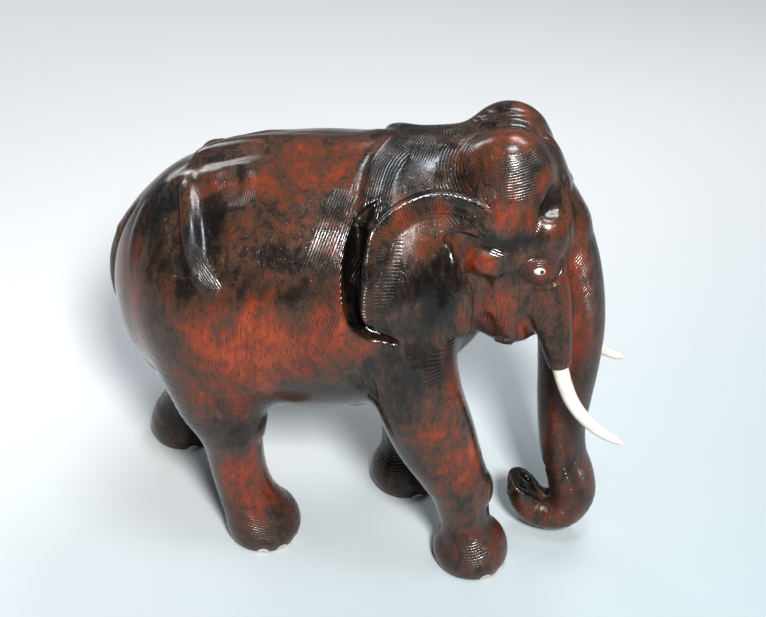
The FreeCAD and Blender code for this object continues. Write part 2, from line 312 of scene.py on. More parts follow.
def surface_nets(D, lo, h):
    """Closed quad mesh of D = 0: vertices and quads."""
    n = np.array(D.shape)
    S = D < 0
    cnt = np.zeros(n - 1, np.int8)
    for a in (0, 1):
        for b in (0, 1):
            for d in (0, 1):
                cnt += S[a : n[0] - 1 + a, b : n[1] - 1 + b, d : n[2] - 1 + d]
    act = (cnt > 0) & (cnt < 8)
    ii = np.argwhere(act)
    idx = np.full(act.shape, -1, np.int32)
    idx[act] = np.arange(len(ii))
    corners = np.array([(a, b, d) for a in (0, 1) for b in (0, 1) for d in (0, 1)])
    V = np.stack([D[ii[:, 0] + a, ii[:, 1] + b, ii[:, 2] + d] for a, b, d in corners], -1).astype(float)
    acc = np.zeros((len(ii), 3))
    num = np.zeros(len(ii))
    for i in range(8):
        for j in range(i + 1, 8):
            df = corners[j] - corners[i]
            if abs(df).sum() != 1:
                continue
            a, b = V[:, i], V[:, j]
            m = (a < 0) != (b < 0)
            t = np.where(m, a / np.where(m, a - b, 1), 0)
            acc += np.where(m[:, None], corners[i] + t[:, None] * df, 0)
            num += m
    v = (ii + acc / num[:, None]) * h + np.array(lo)
    quads = []
    for ax in range(3):
        s0 = [slice(None)] * 3
        s1 = [slice(None)] * 3
        s0[ax] = slice(0, n[ax] - 1)
        s1[ax] = slice(1, n[ax])
        A = S[tuple(s0)]
        e = np.argwhere(A != S[tuple(s1)])
        o1, o2 = [k for k in range(3) if k != ax]
        e = e[(e[:, o1] > 0) & (e[:, o2] > 0) & (e[:, o1] < n[o1] - 1) & (e[:, o2] < n[o2] - 1)]

        def cell(d1, d2):
            q = e.copy()
            q[:, o1] -= d1
            q[:, o2] -= d2
            return idx[q[:, 0], q[:, 1], q[:, 2]]

        q = np.stack([cell(1, 1), cell(0, 1), cell(0, 0), cell(1, 0)], -1)
        flip = A[e[:, 0], e[:, 1], e[:, 2]]
        if ax == 1:
            flip = ~flip
        quads.append(np.where(flip[:, None], q, q[:, ::-1]))
    return v, np.concatenate(quads)


def mesh_of(shape, lo, hi, coarse, fine, band=4.2):
    """Meshes a shape: a coarse grid finds the skin, and only cells near it are worked out finely."""
    lo = np.asarray(lo, float)
    hi = np.asarray(hi, float)
    nc = np.ceil((hi - lo) / coarse).astype(int) + 1
    ax = [lo[k] + coarse * np.arange(nc[k]) for k in range(3)]
    P = np.stack(np.meshgrid(*ax, indexing="ij"), -1).reshape(-1, 3)
    C = shape(P).reshape(nc).astype(np.float32)
    if fine >= coarse:
        return surface_nets(C, lo, coarse)
    nf = np.floor((nc - 1) * coarse / fine).astype(int) + 1
    D = C
    for k in range(3):
        t = np.arange(nf[k]) * fine / coarse
        i = np.clip(t.astype(int), 0, nc[k] - 2)
        f = (t - i).astype(np.float32).reshape([-1 if a == k else 1 for a in range(3)])
        D = np.take(D, i, axis=k) * (1 - f) + np.take(D, i + 1, axis=k) * f
    flat = D.reshape(-1)
    near = np.flatnonzero(np.abs(flat) < band)
    i = near // (nf[1] * nf[2])
    j = (near // nf[2]) % nf[1]
    k = near % nf[2]
    flat[near] = shape(np.stack([i, j, k], -1) * fine + lo)
    return surface_nets(D, lo, fine)


def smooth(v, quads, rounds=2, lam=0.5, mu=-0.52):
    """Evens out the grid's stairs without shrinking the form."""
    e = np.concatenate([quads[:, [0, 1]], quads[:, [1, 2]], quads[:, [2, 3]], quads[:, [3, 0]]])
    a = np.concatenate([e[:, 0], e[:, 1]])
    b = np.concatenate([e[:, 1], e[:, 0]])
    n = np.bincount(a, minlength=len(v)).astype(float)
    v = v.copy()
    for _ in range(rounds):
        for w in (lam, mu):
            s = np.stack([np.bincount(a, weights=v[b, k], minlength=len(v)) for k in range(3)], -1)
            v += w * (s / n[:, None] - v)
    return v


def vertex_normals(v, q):
    n = np.cross(v[q[:, 2]] - v[q[:, 0]], v[q[:, 3]] - v[q[:, 1]])
    N = np.stack(
        [sum(np.bincount(q[:, c], weights=n[:, k], minlength=len(v)) for c in range(4)) for k in range(3)], -1
    )
    return N / np.maximum(np.linalg.norm(N, axis=1, keepdims=True), 1e-9)


# ---------------------------------------------------------------- the carved elephant
# Torso: stations along X (x, centre z, half width, height above, height below)
TORSO = [
    (-216, 220, 4, 8, 8), (-213, 220, 24, 30, 34), (-204, 222, 46, 52, 60), (-189, 226, 66, 69, 82),
    (-166, 231, 84, 84, 98), (-130, 237, 97, 94.5, 111), (-90, 241, 103, 102.5, 118), (-50, 244, 104.5, 105.5, 121),
    (-10, 247, 101, 105.5, 117), (30, 252, 84, 104, 106), (58, 258, 61, 97, 84), (82, 264, 44, 86, 58),
    (94, 268, 26, 60, 34),
]
# Limbs: stations (x, y, z, half depth, half width)
LEGS = {
    "rear_right": [
        (-108, -50, 262, 56, 34), (-114, -58, 215, 60, 44), (-118, -62, 182, 51, 42), (-117, -64, 150, 39, 36),
        (-113, -63, 125, 28.5, 29.5), (-110.5, -61, 105, 24, 25.5), (-107, -58, 72, 22.5, 23.5),
        (-101, -56, 46, 23.5, 24), (-93.5, -54, 26, 28, 27),
    ],
    "front_right": [
        (20, -42, 262, 36, 30), (28, -60, 215, 36, 35), (38.5, -65, 175, 34.5, 33), (53, -62, 134, 33, 29.5),
        (67, -59, 102, 27.5, 26.5), (74.5, -57, 84, 25, 24.5), (80, -55, 56, 21, 21), (83.5, -54, 38, 21.5, 21.5),
        (87, -53, 24, 26, 25),
    ],
    "front_left": [
        (24, 42, 262, 38, 30), (31, 58, 215, 39, 34), (27, 61, 175, 37, 32), (21, 56, 134, 33, 29),
        (17.5, 51, 102, 28, 26), (18.5, 48, 84, 24, 24.5), (17.5, 44, 56, 20.5, 21), (18, 43, 38, 21.5, 21.5),
        (19, 41, 24, 26, 25),
    ],
    "rear_left": [
        (-116, 50, 262, 54, 34), (-124, 58, 215, 57, 44), (-132, 62, 182, 48, 42), (-138, 65, 150, 37, 36),
        (-146.5, 66, 125, 29, 30), (-156, 66, 105, 24, 26), (-173, 66, 72, 22.5, 23.5), (-184, 66, 46, 23.5, 24),
        (-190, 66, 26, 28, 27),
    ],
}
SOLES = {"rear_right": (-89, -50), "front_right": (88, -50), "front_left": (20, 41), "rear_left": (-192, 69)}
FOOT = [(-4, 27.3), (0, 28.0), (4, 29.7), (12, 31.3), (20, 30.2), (28, 27), (34, 23)]  # height, radius
TRUNK = [
    (108, 0, 310, 30, 30), (119, 0, 297, 34, 32), (131, 0, 270, 34, 31), (141, 0, 243, 31, 29),
    (149, 0, 212, 27, 27), (151, 0, 176, 24.5, 25), (151, 0, 142, 22, 23.5), (152, 0, 112, 19.5, 22),
    (156.5, 0, 84, 19, 21.5), (164, 0, 62, 19.8, 21.5), (167.5, 0, 43, 19.3, 21), (160, 0, 26.5, 18.5, 20),
    (146, 0, 21.5, 16.5, 18.5), (133, 0, 27, 16, 17.5), (126, 0, 40, 14.5, 17), (125.5, 0, 52, 13.5, 16), (126, 0, 60, 12, 14),
]
SHEATH = [
    (122, 32, 285, 17, 16), (130, 35.5, 255, 17, 15), (137, 38.5, 230, 14, 13.5), (141.5, 41.8, 212, 11, 11),
    (144.2, 43.8, 202, 8.6, 8.6),
]
TAIL = [
    (-136, 0, 306, 8, 8), (-160, 0, 300, 10, 10), (-182, 0, 283, 11.3, 11.3), (-202, 0, 258, 11.5, 11.5),
    (-213, 0, 230, 10.9, 10.9), (-215, 0, 202, 9.3, 9.3), (-209, 1, 176, 7.8, 7.8), (-198, 3, 150, 7.0, 7.0),
    (-187, 6, 126, 8.4, 8.4), (-179, 9, 104, 7.2, 7.2), (-174, 11, 91, 3.2, 3.2),
]
# The ear's outline in X and Z, from the front of its top edge, back, down and round the lobe
EAR_OUT = [
    (84, 331), (78, 338), (70, 342), (58, 345), (46, 346), (34, 344.5), (24, 341), (13, 336), (4, 329), (-2, 319),
    (-3.5, 303), (-3, 284), (-2, 268), (2, 258), (14, 251), (30, 245), (46, 239), (60, 234), (70, 233), (75.5, 238),
    (76.5, 250), (76, 266), (73.5, 277), (68.5, 285), (63.5, 292), (59.5, 299), (57, 305), (53.5, 308), (50, 308.5),
    (50, 313), (56, 315.5), (64, 315.5), (74, 313), (84, 311),
]
EAR_TOP = np.array(
    [(86, 330), (78, 338), (70, 342), (58, 345), (46, 346), (34, 344.5), (24, 341), (13, 336), (4, 329), (-2, 319), (-4, 306)],
    float,
)


class Foot:
    def __init__(s, x, y, prof=FOOT):
        s.x, s.y = x, y
        s.p = np.array(prof, float)
        r = s.p[:, 1].max()
        s.lo = np.array([x - r, y - r, 0])
        s.hi = np.array([x + r, y + r, s.p[-1, 0]])

    def d(s, P):
        z = P[..., 2]
        r = pchip(s.p[:, 0], s.p[:, 1], z)
        q = np.hypot(P[..., 0] - s.x, P[..., 1] - s.y) - r
        return smax(q * 0.95, z - s.p[-1, 0], 6)


def chaikin(p, n=2):
    p = np.array(p, float)
    for _ in range(n):
        b = np.roll(p, -1, 0)
        p = np.stack([0.75 * p + 0.25 * b, 0.25 * p + 0.75 * b], 1).reshape(-1, 2)
    return p


def poly_sd(poly, X, Z):
    d = np.full(X.shape, 1e9)
    inside = np.zeros(X.shape, bool)
    for i in range(len(poly)):
        a = poly[i]
        b = poly[(i + 1) % len(poly)]
        e = b - a
        wx = X - a[0]
        wz = Z - a[1]
        t = np.clip((wx * e[0] + wz * e[1]) / (e @ e), 0, 1)
        d = np.minimum(d, (wx - t * e[0]) ** 2 + (wz - t * e[1]) ** 2)
        inside ^= ((a[1] > Z) != (b[1] > Z)) & (X < (b[0] - a[0]) * (Z - a[1]) / (b[1] - a[1] + 1e-12) + a[0])
    d = np.sqrt(d)
    return np.where(inside, -d, d)


def line_d(poly, X, Z):
    """Distance to an open line in X and Z, and the length along it at the nearest point."""
    d = np.full(X.shape, 1e9)
    A = np.zeros(X.shape)
    run = 0.0
    for a, b in zip(poly[:-1], poly[1:]):
        e = b - a
        L = np.sqrt(e @ e)
        wx = X - a[0]
        wz = Z - a[1]
        t = np.clip((wx * e[0] + wz * e[1]) / (e @ e), 0, 1)
        q = (wx - t * e[0]) ** 2 + (wz - t * e[1]) ** 2
        A = np.where(q < d, run + t * L, A)
        d = np.minimum(d, q)
        run += L
    return np.sqrt(d), A


def ear_y(X, Z):
    """How far the middle of the ear stands from the mid-plane at (x, z)."""
    t = np.clip((78 - X) / 78, 0, 1.0)
    top = smoothstep(262, 345, Z)
    y = (61 + 40.0 * t**0.9) * (1 - top) + (47.5 + 24 * t**3) * top
    # the conch is a bowl in the front half, with a soft fold down its middle
    q = ((X - 47) / 17) ** 2 + ((Z - 281) / 33) ** 2
    y = y - 5.5 * np.clip(1 - q, 0, 1) ** 1.2
    y = y + 2.2 * np.exp(-(((X - (57 + 0.06 * (Z - 280))) / 3.2) ** 2)) * smoothstep(306, 292, Z) * smoothstep(248, 262, Z)
    # the lower rear corner turns outward a little
    return y + 1.0 * smoothstep(26, 0, X) * smoothstep(285, 255, Z)


class Ear:
    def __init__(s, side):
        s.side = side
        s.out = chaikin(EAR_OUT, 2)
        y0, y1 = (38, 112) if side > 0 else (-112, -38)
        s.lo = np.array([-10, y0, 228])
        s.hi = np.array([90, y1, 360])

    def lift(s, Z):
        return Z + (5.0 * np.clip((Z - 262) / 84.0, 0, 2) if s.side > 0 else 0)

    def d(s, P):
        X, Y, Z = P[..., 0], P[..., 1] * s.side, s.lift(P[..., 2])
        d2 = poly_sd(s.out, X, Z)
        ym = ear_y(X, Z)
        gx = (ear_y(X + 1, Z) - ear_y(X - 1, Z)) / 2
        gz = (ear_y(X, Z + 1) - ear_y(X, Z - 1)) / 2
        n = np.sqrt(1 + gx**2 + gz**2)
        u, _ = line_d(EAR_TOP, X, Z)
        out = 2.6 + 2.6 * (1 - smoothstep(15.0, 17.6, u)) + 1.2 * (1 - smoothstep(3, 9, u))
        out = out + 1.4 * smoothstep(8, 1, X) * smoothstep(335, 300, Z)
        w = (Y - ym) / n
        return smax(np.maximum(w - out, -w - 3.0), d2 * 0.9, 3.5)


CAPE = [(12, -2, 363), (4, -10, 362), (-3, -20, 357), (-8, -32, 350), (-10, -44, 343), (-11, -57, 334), (-13, -68, 325)]
DOME = [
    (56.6, -34.4, 349.7), (56.0, -20.8, 359.7), (60.8, -12, 366.8), (70.5, -10, 372.9), (84.8, -11, 379.5),
    (98.7, -14, 378.5), (109.4, -20, 373), (115.5, -30, 365), (115, -41, 356), (108.8, -48, 347.7),
    (99.5, -50.5, 341.6), (88.4, -51.6, 339.3), (76.2, -49.5, 338.8), (64.7, -43.8, 341.0),
]
LID = [
    (106.2, -47.5, 284.5), (110.0, -51.0, 294.7), (116.8, -50.9, 299.8), (126.1, -47.9, 300.0), (134.1, -42.0, 295.8),
    (137.1, -41.1, 286.5), (135.3, -45.3, 278.2), (129.2, -48.8, 274.4), (122.1, -49.1, 271.9), (112.2, -46.5, 274.3),
]
HIP = [
    (-148.3, -17.8, 327.6), (-149.2, -26.5, 322.7), (-146.3, -40.1, 318.2), (-141.4, -53.1, 313.1),
    (-137.9, -63.8, 306.7), (-132.9, -78.2, 295.2), (-126.1, -88.3, 284.1), (-117.2, -95.0, 273.9), (-104.0, -100, 264),
]


def carve(g):
    c = Carve(g)
    # hip bone, the hollow before it and the crest of the pelvis
    c.stroke(HIP, 11, 5.5, 0.22, 0.35)
    c.stroke([(-158, -20, 319), (-156, -41, 312), (-150, -63, 301), (-142, -82, 286), (-131, -94, 270)], 9, -4.5)
    c.stroke([(-131, -36, 327), (-126, -56, 318), (-119, -73, 306), (-111, -88, 290)], 15, -5, 0.2, 0.3)
    c.stroke([(-146, -26, 324), (-132, -30, 328), (-113, -31, 333), (-91, -30, 339), (-70, -29, 343)], 13, 2.2, 0.2, 0.5)
    c.stroke([(-124, -42, 327), (-99, -44, 334)], 18, -2.5, 0.3, 0.3)
    # folds beside the tail
    c.stroke([(-168, -17, 309), (-173, -33, 300), (-175, -50, 285), (-170, -66, 262)], 7, -2.5)
    c.stroke([(-182, -20, 290), (-188, -34, 272), (-188, -46, 250), (-181, -58, 225)], 7, -2.2)
    c.stroke([(-176, -24, 299), (-182, -40, 285), (-183, -52, 265), (-177, -64, 240)], 9, 1.6)
    # the cape of loose skin that starts at the nape
    c.stroke([(x + 9, y, z + 1) for x, y, z in CAPE], 14, 3.4, 0.5, 0.2)
    c.stroke([(x - 3, y, z) for x, y, z in CAPE], 6, -2.8, 0.3, 0.1)
    c.stroke([(34, 0, 366), (50, 0, 368)], 16, -2.0, 0.3, 0.3, mirror=False)
    # head: the groove between the domes and the step round each
    c.stroke([(58, 0, 368), (75, 0, 376), (90, 0, 380), (104, 0, 376), (116, 0, 364), (124, 0, 350), (129, 0, 338)], 8, -3.0, 0.2, 0.3, mirror=False)
    c.stroke(DOME[:9], 5.5, -1.2, 0.25, 0.35)
    # temple pit, brow, the groove beside the root of the trunk
    c.stroke([(128, -25, 348), (125, -33, 339), (122, -41, 330), (118, -46, 322)], 10, -6.0, 0.3, 0.5)
    c.bump((128, -42, 311), (17, 18, 24), 6.5)
    c.stroke([(131, -8, 345), (134, -20, 333), (136, -29, 324), (139, -36, 313), (140, -37, 299), (139, -41, 284)], 5.5, -4.5, 0.1, 0.15)
    # trunk root
    c.bump((143, 0, 312), (22, 40, 24), 3.0, mirror=False)
    # eye: a mound in a lozenge of lids, overhung by the brow
    c.bump((121, -47, 286), (16, 11, 13), 3.6)
    c.stroke(LID, 3.2, -1.2, closed=True)
    c.stroke([(110, -51, 296), (117, -52, 301), (127, -49, 302), (135, -42, 297)], 5.0, -1.6, 0.3, 0.2)
    c.stroke([(147, -26, 278), (141, -38, 278), (135, -45.5, 277), (131, -48.5, 273)], 2.8, -2.2, 0.1, 0.1)
    # temple muscle and the pits round it
    c.bump((101, -49, 279), (20, 15, 20), 2.2)
    c.stroke([(71, -60, 286), (77, -56, 278), (85, -52, 274)], 7, -1.4, 0.3, 0.4)
    c.stroke([(70, -60, 300), (69, -60, 291), (71, -59, 284)], 6, -3.0, 0.2, 0.3)
    c.stroke([(76, -58, 303), (88, -56, 305), (100, -53, 300)], 9, -0.8, 0.3, 0.4)
    # cheek, jaw and mouth
    c.stroke([(106, -50, 254), (112, -49, 246), (117, -47, 238), (119, -43, 230), (121, -39, 222), (123, -36, 214)], 7, -3.4, 0.4, 0.05)
    c.stroke([(84, -50, 250), (87, -48, 240), (92, -44, 230), (98, -42, 222)], 8, -1.6, 0.4, 0.3)
    c.stroke([(92, -36, 215), (100, -38, 211), (108, -38, 213)], 5, 2.2)
    # the collar at the end of each sheath
    c.stroke([(134, -48, 210), (139, -52, 209), (149, -52, 208)], 2.6, -1.2)
    c.stroke([(136, -48, 206), (141, -52, 205), (150, -51, 204)], 2.6, 0.9)
    # folds of the chest, elbow, belly and knees
    c.stroke([(-16, -101, 250), (-13, -101, 236), (-8, -96, 212), (0, -85, 186)], 5, -2.4)
    c.stroke([(-6, -100, 246), (0, -97, 222), (6, -91, 198), (13, -84, 180)], 4.5, -2.2)
    c.stroke([(44, -92, 246), (52, -92, 226), (66, -84, 211), (80, -62, 196)], 7, -2.4)
    c.stroke([(-78, -84, 150), (-60, -82, 141), (-35, -82, 139), (-10, -84, 144)], 5, -1.8)
    c.stroke([(-76, -66, 142), (-55, -62, 134), (-30, -62, 134), (-8, -64, 139)], 5, -1.8)
    c.stroke([(-116, -104, 190), (-113, -103, 174), (-104, -98, 153), (-92, -86, 134)], 8, -2.2)
    c.bump((99, -57, 84), (14, 18, 17), 3.2, mirror=False)
    c.bump((41, 49, 84), (14, 18, 17), 3.2, mirror=False)
    c.bump((-84, -62, 122), (12, 18, 14), 3.0, mirror=False)
    c.bump((-122, 66, 118), (12, 18, 14), 3.0, mirror=False)
    # backbone
    c.stroke([(-150, 0, 321), (-110, 0, 342), (-60, 0, 350), (-10, 0, 355)], 11, 1.4, 0.2, 0.3, mirror=False)
    # the rear edge of each haunch
    c.stroke([(-191, -45, 253), (-193, -45, 232), (-193, -45, 210), (-188, -46, 183), (-180, -46, 160), (-169, -46, 134)], 6, 1.8, 0.2, 0.2)
    # gouges of the tail's brush
    for a in (-1.9, 1.9):
        c.stroke([(-190, 5.5 + a, 134), (-184, 8 + a, 116), (-178, 10 + a, 100)], 1.8, -1.0, 0.2, 0.2, mirror=False)
    c.done()


def elephant(P):
    """Signed distance of the carved body at points P, in millimetres."""
    g = Field(P)
    g.add(Barrel(TORSO), 0)
    g.add(Ell((-60, 0, 326), (86, 20, 19)), 26)  # ridge of the back
    g.add(Ell((24, 0, 316), (66, 44, 49), (0, -3, 0)), 22)  # withers and nape
    for k in LEGS:
        g.add(Tube(LEGS[k], n=44), 22)
    for s in (-1, 1):
        g.add(Ell((-118, s * 52, 232), (58, 46, 66), (0, 8, 0)), 20)  # haunch
        g.add(Ell((20, s * 43, 252), (42, 42, 64), (0, 6, 0)), 20)  # shoulder
    for x, y in SOLES.values():
        g.add(Foot(x, y), 6)
    # head
    g.add(Ell((87, 0, 317), (54, 55, 53)), 16)
    g.add(Ell((88, 0, 344), (38, 38, 33)), 10)
    g.add(Ell((55, 5, 351), (32, 28, 17), (0, -12, 0)), 16)  # nape, rising to the domes
    for s in (-1, 1):
        g.add(Ell((92 if s < 0 else 88, s * 25, 352.6), (31, 27, 30.6)), 18)
        g.add(Ell((108, s * 31, 306), (32, 21, 32)), 12)  # brow and cheekbone
        g.add(Ell((100, s * 28, 250), (34, 24, 40), (0, -10, 0)), 14)  # jowl
        g.add(Ell((80, s * 48.5, 291), (14, 10.5, 12)), 14)  # temple muscle
        g.add(Ell((99, s * 45, 297), (18, 9, 8)), 13)  # cheekbone running to the eye
    g.add(Ell((108, 0, 338), (22, 22, 32), (0, 8, 0)), 12)  # forehead ridge
    g.add(Tube(TRUNK, n=72, cap=(1, 0.35)), 10)
    for s in (-1, 1):
        g.add(Tube([(x, s * y, z, a, b) for x, y, z, a, b in SHEATH], n=22, cap=(1, 0.3)), 13)
    g.add(Ell((108, 0, 232), (24, 26, 18)), 10)  # chin
    g.add(Ell((122, 0, 216), (14, 13, 10), (0, 20, 0)), 8)  # lower lip
    # the trunk's end is sliced along its inner side, which leaves a pointed lip,
    # two nostrils and a scooped channel between two rims
    i, Q = g.block((104, -24, 24), (143, 24, 78), 0)
    t = Q[:, 0] - 114
    level = Q[:, 2] - (54.6 - 0.42 * t - 0.0045 * t * t)
    g.D[i] = np.where(Q[:, 0] < 142.5, smax(g.D[i], level, 1.2), g.D[i])
    g.cut(Tube([(129, 0.5, 49, 3, 4), (133, 0.5, 46, 5, 8), (139, 0.5, 42, 6, 9), (145, 0, 37.5, 5, 8), (149, 0, 37, 3, 5)], n=14), 1.5)
    for s in (-1, 1):
        y = 7.0 if s < 0 else 5.8
        g.cut(Tube([(124.5, s * y, 54, 3.4, 2.5), (126, s * y, 47, 3.0, 2.3), (128, s * y, 41, 1.8, 1.6)], n=8), 0.7)
    # a recess each side of the tail
    for s in (-1, 1):
        g.cut(
            Tube(
                [
                    (-196, s * 15, 290, 4, 4), (-207, s * 17, 264, 7, 7), (-212, s * 18, 236, 9, 8.5), (-209, s * 18, 206, 9, 8.5),
                    (-200, s * 18, 180, 8, 8), (-190, s * 17, 160, 6, 6),
                ],
                n=18,
            ),
            5,
        )
    g.add(Tube(TAIL, n=52), 5)
    # the deep slot behind each ear, which narrows over its top
    for s in (-1, 1):
        dz = 0 if s < 0 else -4
        g.cut(
            Tube(
                [
                    (27, s * 50, 350 + dz, 1.5, 5), (20, s * 56, 346.5 + dz, 2.5, 10), (9, s * 68, 340 + dz, 4.5, 16),
                    (0, s * 76, 333 + dz, 6.5, 20), (-6, s * 83, 326 + dz * 0.8, 8.0, 22), (-9, s * 89, 314 + dz * 0.6, 8.5, 22),
                    (-9.5, s * 93, 298, 8.5, 22), (-8.5, s * 95, 280, 8.5, 20), (-6.5, s * 96, 266, 8.0, 17),
                    (-3.5, s * 97, 255, 7.0, 13), (3, s * 97, 247, 5, 10), (13, s * 94, 243, 3.0, 7), (23, s * 90, 239, 1.5, 4),
                ],
                n=44,
            ),
            1.6,
        )
    for s in (-1, 1):
        g.add(Ear(s), 3)
    carve(g)
    g.D = np.maximum(g.D, -g.P[:, 2])  # flat soles
    return g.D


# ---------------------------------------------------------------- engraved lines
# The carver's fine lines follow each form. Every vertex gets the phase of up to
# two sets of lines and how deeply each is cut there; the material turns phase
# into grooves.


class Lines:
    def __init__(s, n):
        s.best = np.zeros(n)
        s.second = np.zeros(n)
        s.phase = np.zeros(n)

    def add(s, k, phase, m):
        """Region with point indices k: the strongest region owns a point, and fades where another starts."""
        m = np.clip(m, 0, 1)
        win = m > s.best[k]
        s.second[k] = np.where(win, np.maximum(s.best[k], s.second[k]), np.maximum(m, s.second[k]))
        s.phase[k] = np.where(win, phase, s.phase[k])
        s.best[k] = np.where(win, m, s.best[k])

    def mask(s):
        return np.clip(s.best - s.second, 0, 1) * smoothstep(0.0, 0.25, s.best)


def blob(P, c, r, rot=(0, 0, 0)):
    e = Ell(c, r, rot)
    q = (P - e.c) @ e.R
    return smoothstep(1.0, 0.35, ((q / e.r) ** 2).sum(-1))


def near(P, lo, hi):
    return np.flatnonzero(((P > np.array(lo)) & (P < np.array(hi))).all(1))


def wobble(P, s, seed):
    """A slow, smooth unevenness, about -1 to 1."""
    rng = np.random.default_rng(seed)
    out = np.zeros(len(P))
    for _ in range(5):
        k = rng.normal(size=3)
        k *= s * rng.uniform(0.6, 1.4) / np.linalg.norm(k)
        out += np.sin(P @ k + rng.uniform(0, 6.28))
    return out / 2.6


def engrave(P, N):
    n = len(P)
    A = Lines(n)
    B = Lines(n)
    M = P * np.array([1, 1, 1])
    M[:, 1] = -np.abs(P[:, 1])  # both sides are worked alike
    right = P[:, 1] < 0
    wob = wobble(P, 0.045, 5)

    # trunk: rings, which rise in chevrons on its front
    tube = Tube(TRUNK, n=72, cap=(1, 0.35))
    k = near(P, (95, -42, -5), (200, 42, 345))
    T, arc, u, v, w, ra, rb = tube.frame(P[k])
    r = np.hypot(u / ra, v / rb)
    on = smoothstep(1.22, 1.10, r) * smoothstep(0.7, 0.85, r) * smoothstep(18, 40, arc)
    on *= smoothstep(tube.len[-1] - 4, tube.len[-1] - 14, arc)
    front = smoothstep(0.05, 0.6, -u / ra)
    rise = 0.75 * np.abs(v)
    ph = (arc - rise * front) / 2.5
    A.add(k, ph + 0.35 * wob[k], on)
    B.add(k, (arc + 0.9 * np.abs(v)) / 2.2, on * smoothstep(0.55, 0.95, front) * 0.4 * smoothstep(0.1, 0.6, wobble(P[k], 0.06, 9) + 0.45))

    # ankles and feet: arcs round the joint, with ticks at the edge of the sole
    for name, (fx, fy) in SOLES.items():
        k = near(P, (fx - 50, fy - 42, -1), (fx + 50, fy + 42, 78))
        q = P[k]
        ang = np.arctan2(q[:, 1] - fy, q[:, 0] - fx)
        tilt = 0.18 if fx < 0 else -0.12
        zz = q[:, 2] + tilt * (q[:, 0] - fx) + 1.6 * np.sin(3 * ang + fx)
        m = smoothstep(13, 19, zz) * smoothstep(56, 44, zz)
        A.add(k, zz / 2.35 + 0.2 * wob[k], m * 0.95)
        B.add(k, (ang * 27 + 1.0 * np.sin(5 * ang)) / 2.3, smoothstep(9, 4, q[:, 2]) * smoothstep(0.2, 1.5, q[:, 2]) * 0.8)
        B.add(k, (zz * 0.6 + ang * 27) / 2.6, 0.6 * m * smoothstep(-0.5, 0.5, np.cos(ang + 0.3)) * smoothstep(24, 28, zz))

    # knees of the hind legs, and the front of the fore legs
    k = near(M, (-150, -120, 95), (-40, -30, 215))
    q = M[k]
    A.add(k, (q[:, 2] + 0.30 * (q[:, 0] + 100) + 0.012 * (q[:, 0] + 95) ** 2) / 2.4 + 0.2 * wob[k], 0.9 * blob(q, (-96, -86, 150), (40, 40, 40)))
    k = near(P, (40, -110, 95), (110, -25, 150))
    A.add(k, (P[k][:, 2] - 0.25 * P[k][:, 0]) / 2.3, 0.8 * blob(P[k], (88, -72, 112), (24, 26, 18)))
    k = near(P, (0, 20, 95), (70, 90, 150))
    A.add(k, (P[k][:, 2] - 0.15 * P[k][:, 0]) / 2.3, 0.8 * blob(P[k], (42, 56, 112), (26, 26, 18)))
    for cx, cy, cz in ((-88, -62, 122), (-128, 66, 118)):
        k = near(P, (cx - 30, cy - 40, cz - 30), (cx + 40, cy + 40, cz + 30))
        A.add(k, (P[k][:, 2] - 0.3 * P[k][:, 0]) / 2.3, 0.7 * blob(P[k], (cx + 6, cy, cz), (24, 30, 20)))
    # elbow: lines that open like a fan from under the ear's lobe
    k = near(M, (20, -112, 165), (100, -30, 256))
    q = M[k]
    dx = 86 - q[:, 0]
    dz = q[:, 2] - 214
    rr = np.hypot(dx, dz * 0.9)
    A.add(k, np.arctan2(dz, dx) * 11.5 + 0.2 * wob[k], smoothstep(7, 12, rr) * smoothstep(44, 30, rr) * smoothstep(-36, -26, dz) * smoothstep(34, 24, dz) * 0.9)

    # neck: strokes along the cape's edge, short strokes over the nape
    k = near(M, (-30, -96, 296), (64, 1, 380))
    q = M[k]
    d, t = poly_dist(q, [(x - 3, y, z) for x, y, z in CAPE] + [(-16, -80, 312), (-19, -88, 298)])
    side = smoothstep(-6, 0, q[:, 0] - np.interp(-q[:, 1], [0, 20, 44, 68, 90], [9, -6, -13, -16, -24]))
    band = smoothstep(1.5, 5, d) * smoothstep(27, 19, d + 2.2 * wob[k]) * side * smoothstep(0.02, 0.12, t)
    A.add(k, d / 2.1 + 0.25 * wob[k], band * 0.95)
    A.add(k, (q[:, 0] - 0.25 * q[:, 1] + 3 * wob[k]) / 2.0, smoothstep(-34, -14, q[:, 1]) * smoothstep(12, 22, q[:, 0]) * smoothstep(60, 50, q[:, 0]) * 0.8)
    # domes: fine level lines on each, rings round its foot
    c = np.array((92, -25, 352.6))
    k = near(M, (40, -90, 300), (135, 1, 395))
    q = M[k]
    e = np.sqrt((((q - c) / np.array((31, 27, 30.6))) ** 2).sum(-1))
    top = np.linalg.norm(q - np.array((84, -20, 392)), axis=1)
    A.add(k, top / 1.75, smoothstep(1.10, 1.04, e) * smoothstep(26, 40, top) * 0.8)
    back = smoothstep(14, -26, q[:, 0] - 88)
    reach = 1.30 + 0.55 * back
    ring = smoothstep(1.05, 1.12, e) * smoothstep(reach + 0.35, reach - 0.25, e + 0.05 * wob[k]) * (0.45 + 0.55 * back) * smoothstep(-4, -12, q[:, 1])
    A.add(k, e * 27 / 2.0 + 0.15 * wob[k], ring * smoothstep(112, 100, q[:, 0]) * smoothstep(330, 340, q[:, 2] + 0.35 * (92 - q[:, 0])))
    # brow: slanted hatching before and behind the temple pit
    k = near(M, (90, -75, 290), (140, -20, 345))
    q = M[k]
    A.add(k, (q[:, 2] + 0.9 * q[:, 0]) / 2.3, 0.85 * blob(q, (108, -49, 322), (11, 14, 19), (0, 25, 0)))
    A.add(k, (q[:, 2] - 0.7 * q[:, 0]) / 2.0, 0.6 * blob(q, (127, -47, 304), (10, 12, 8)))
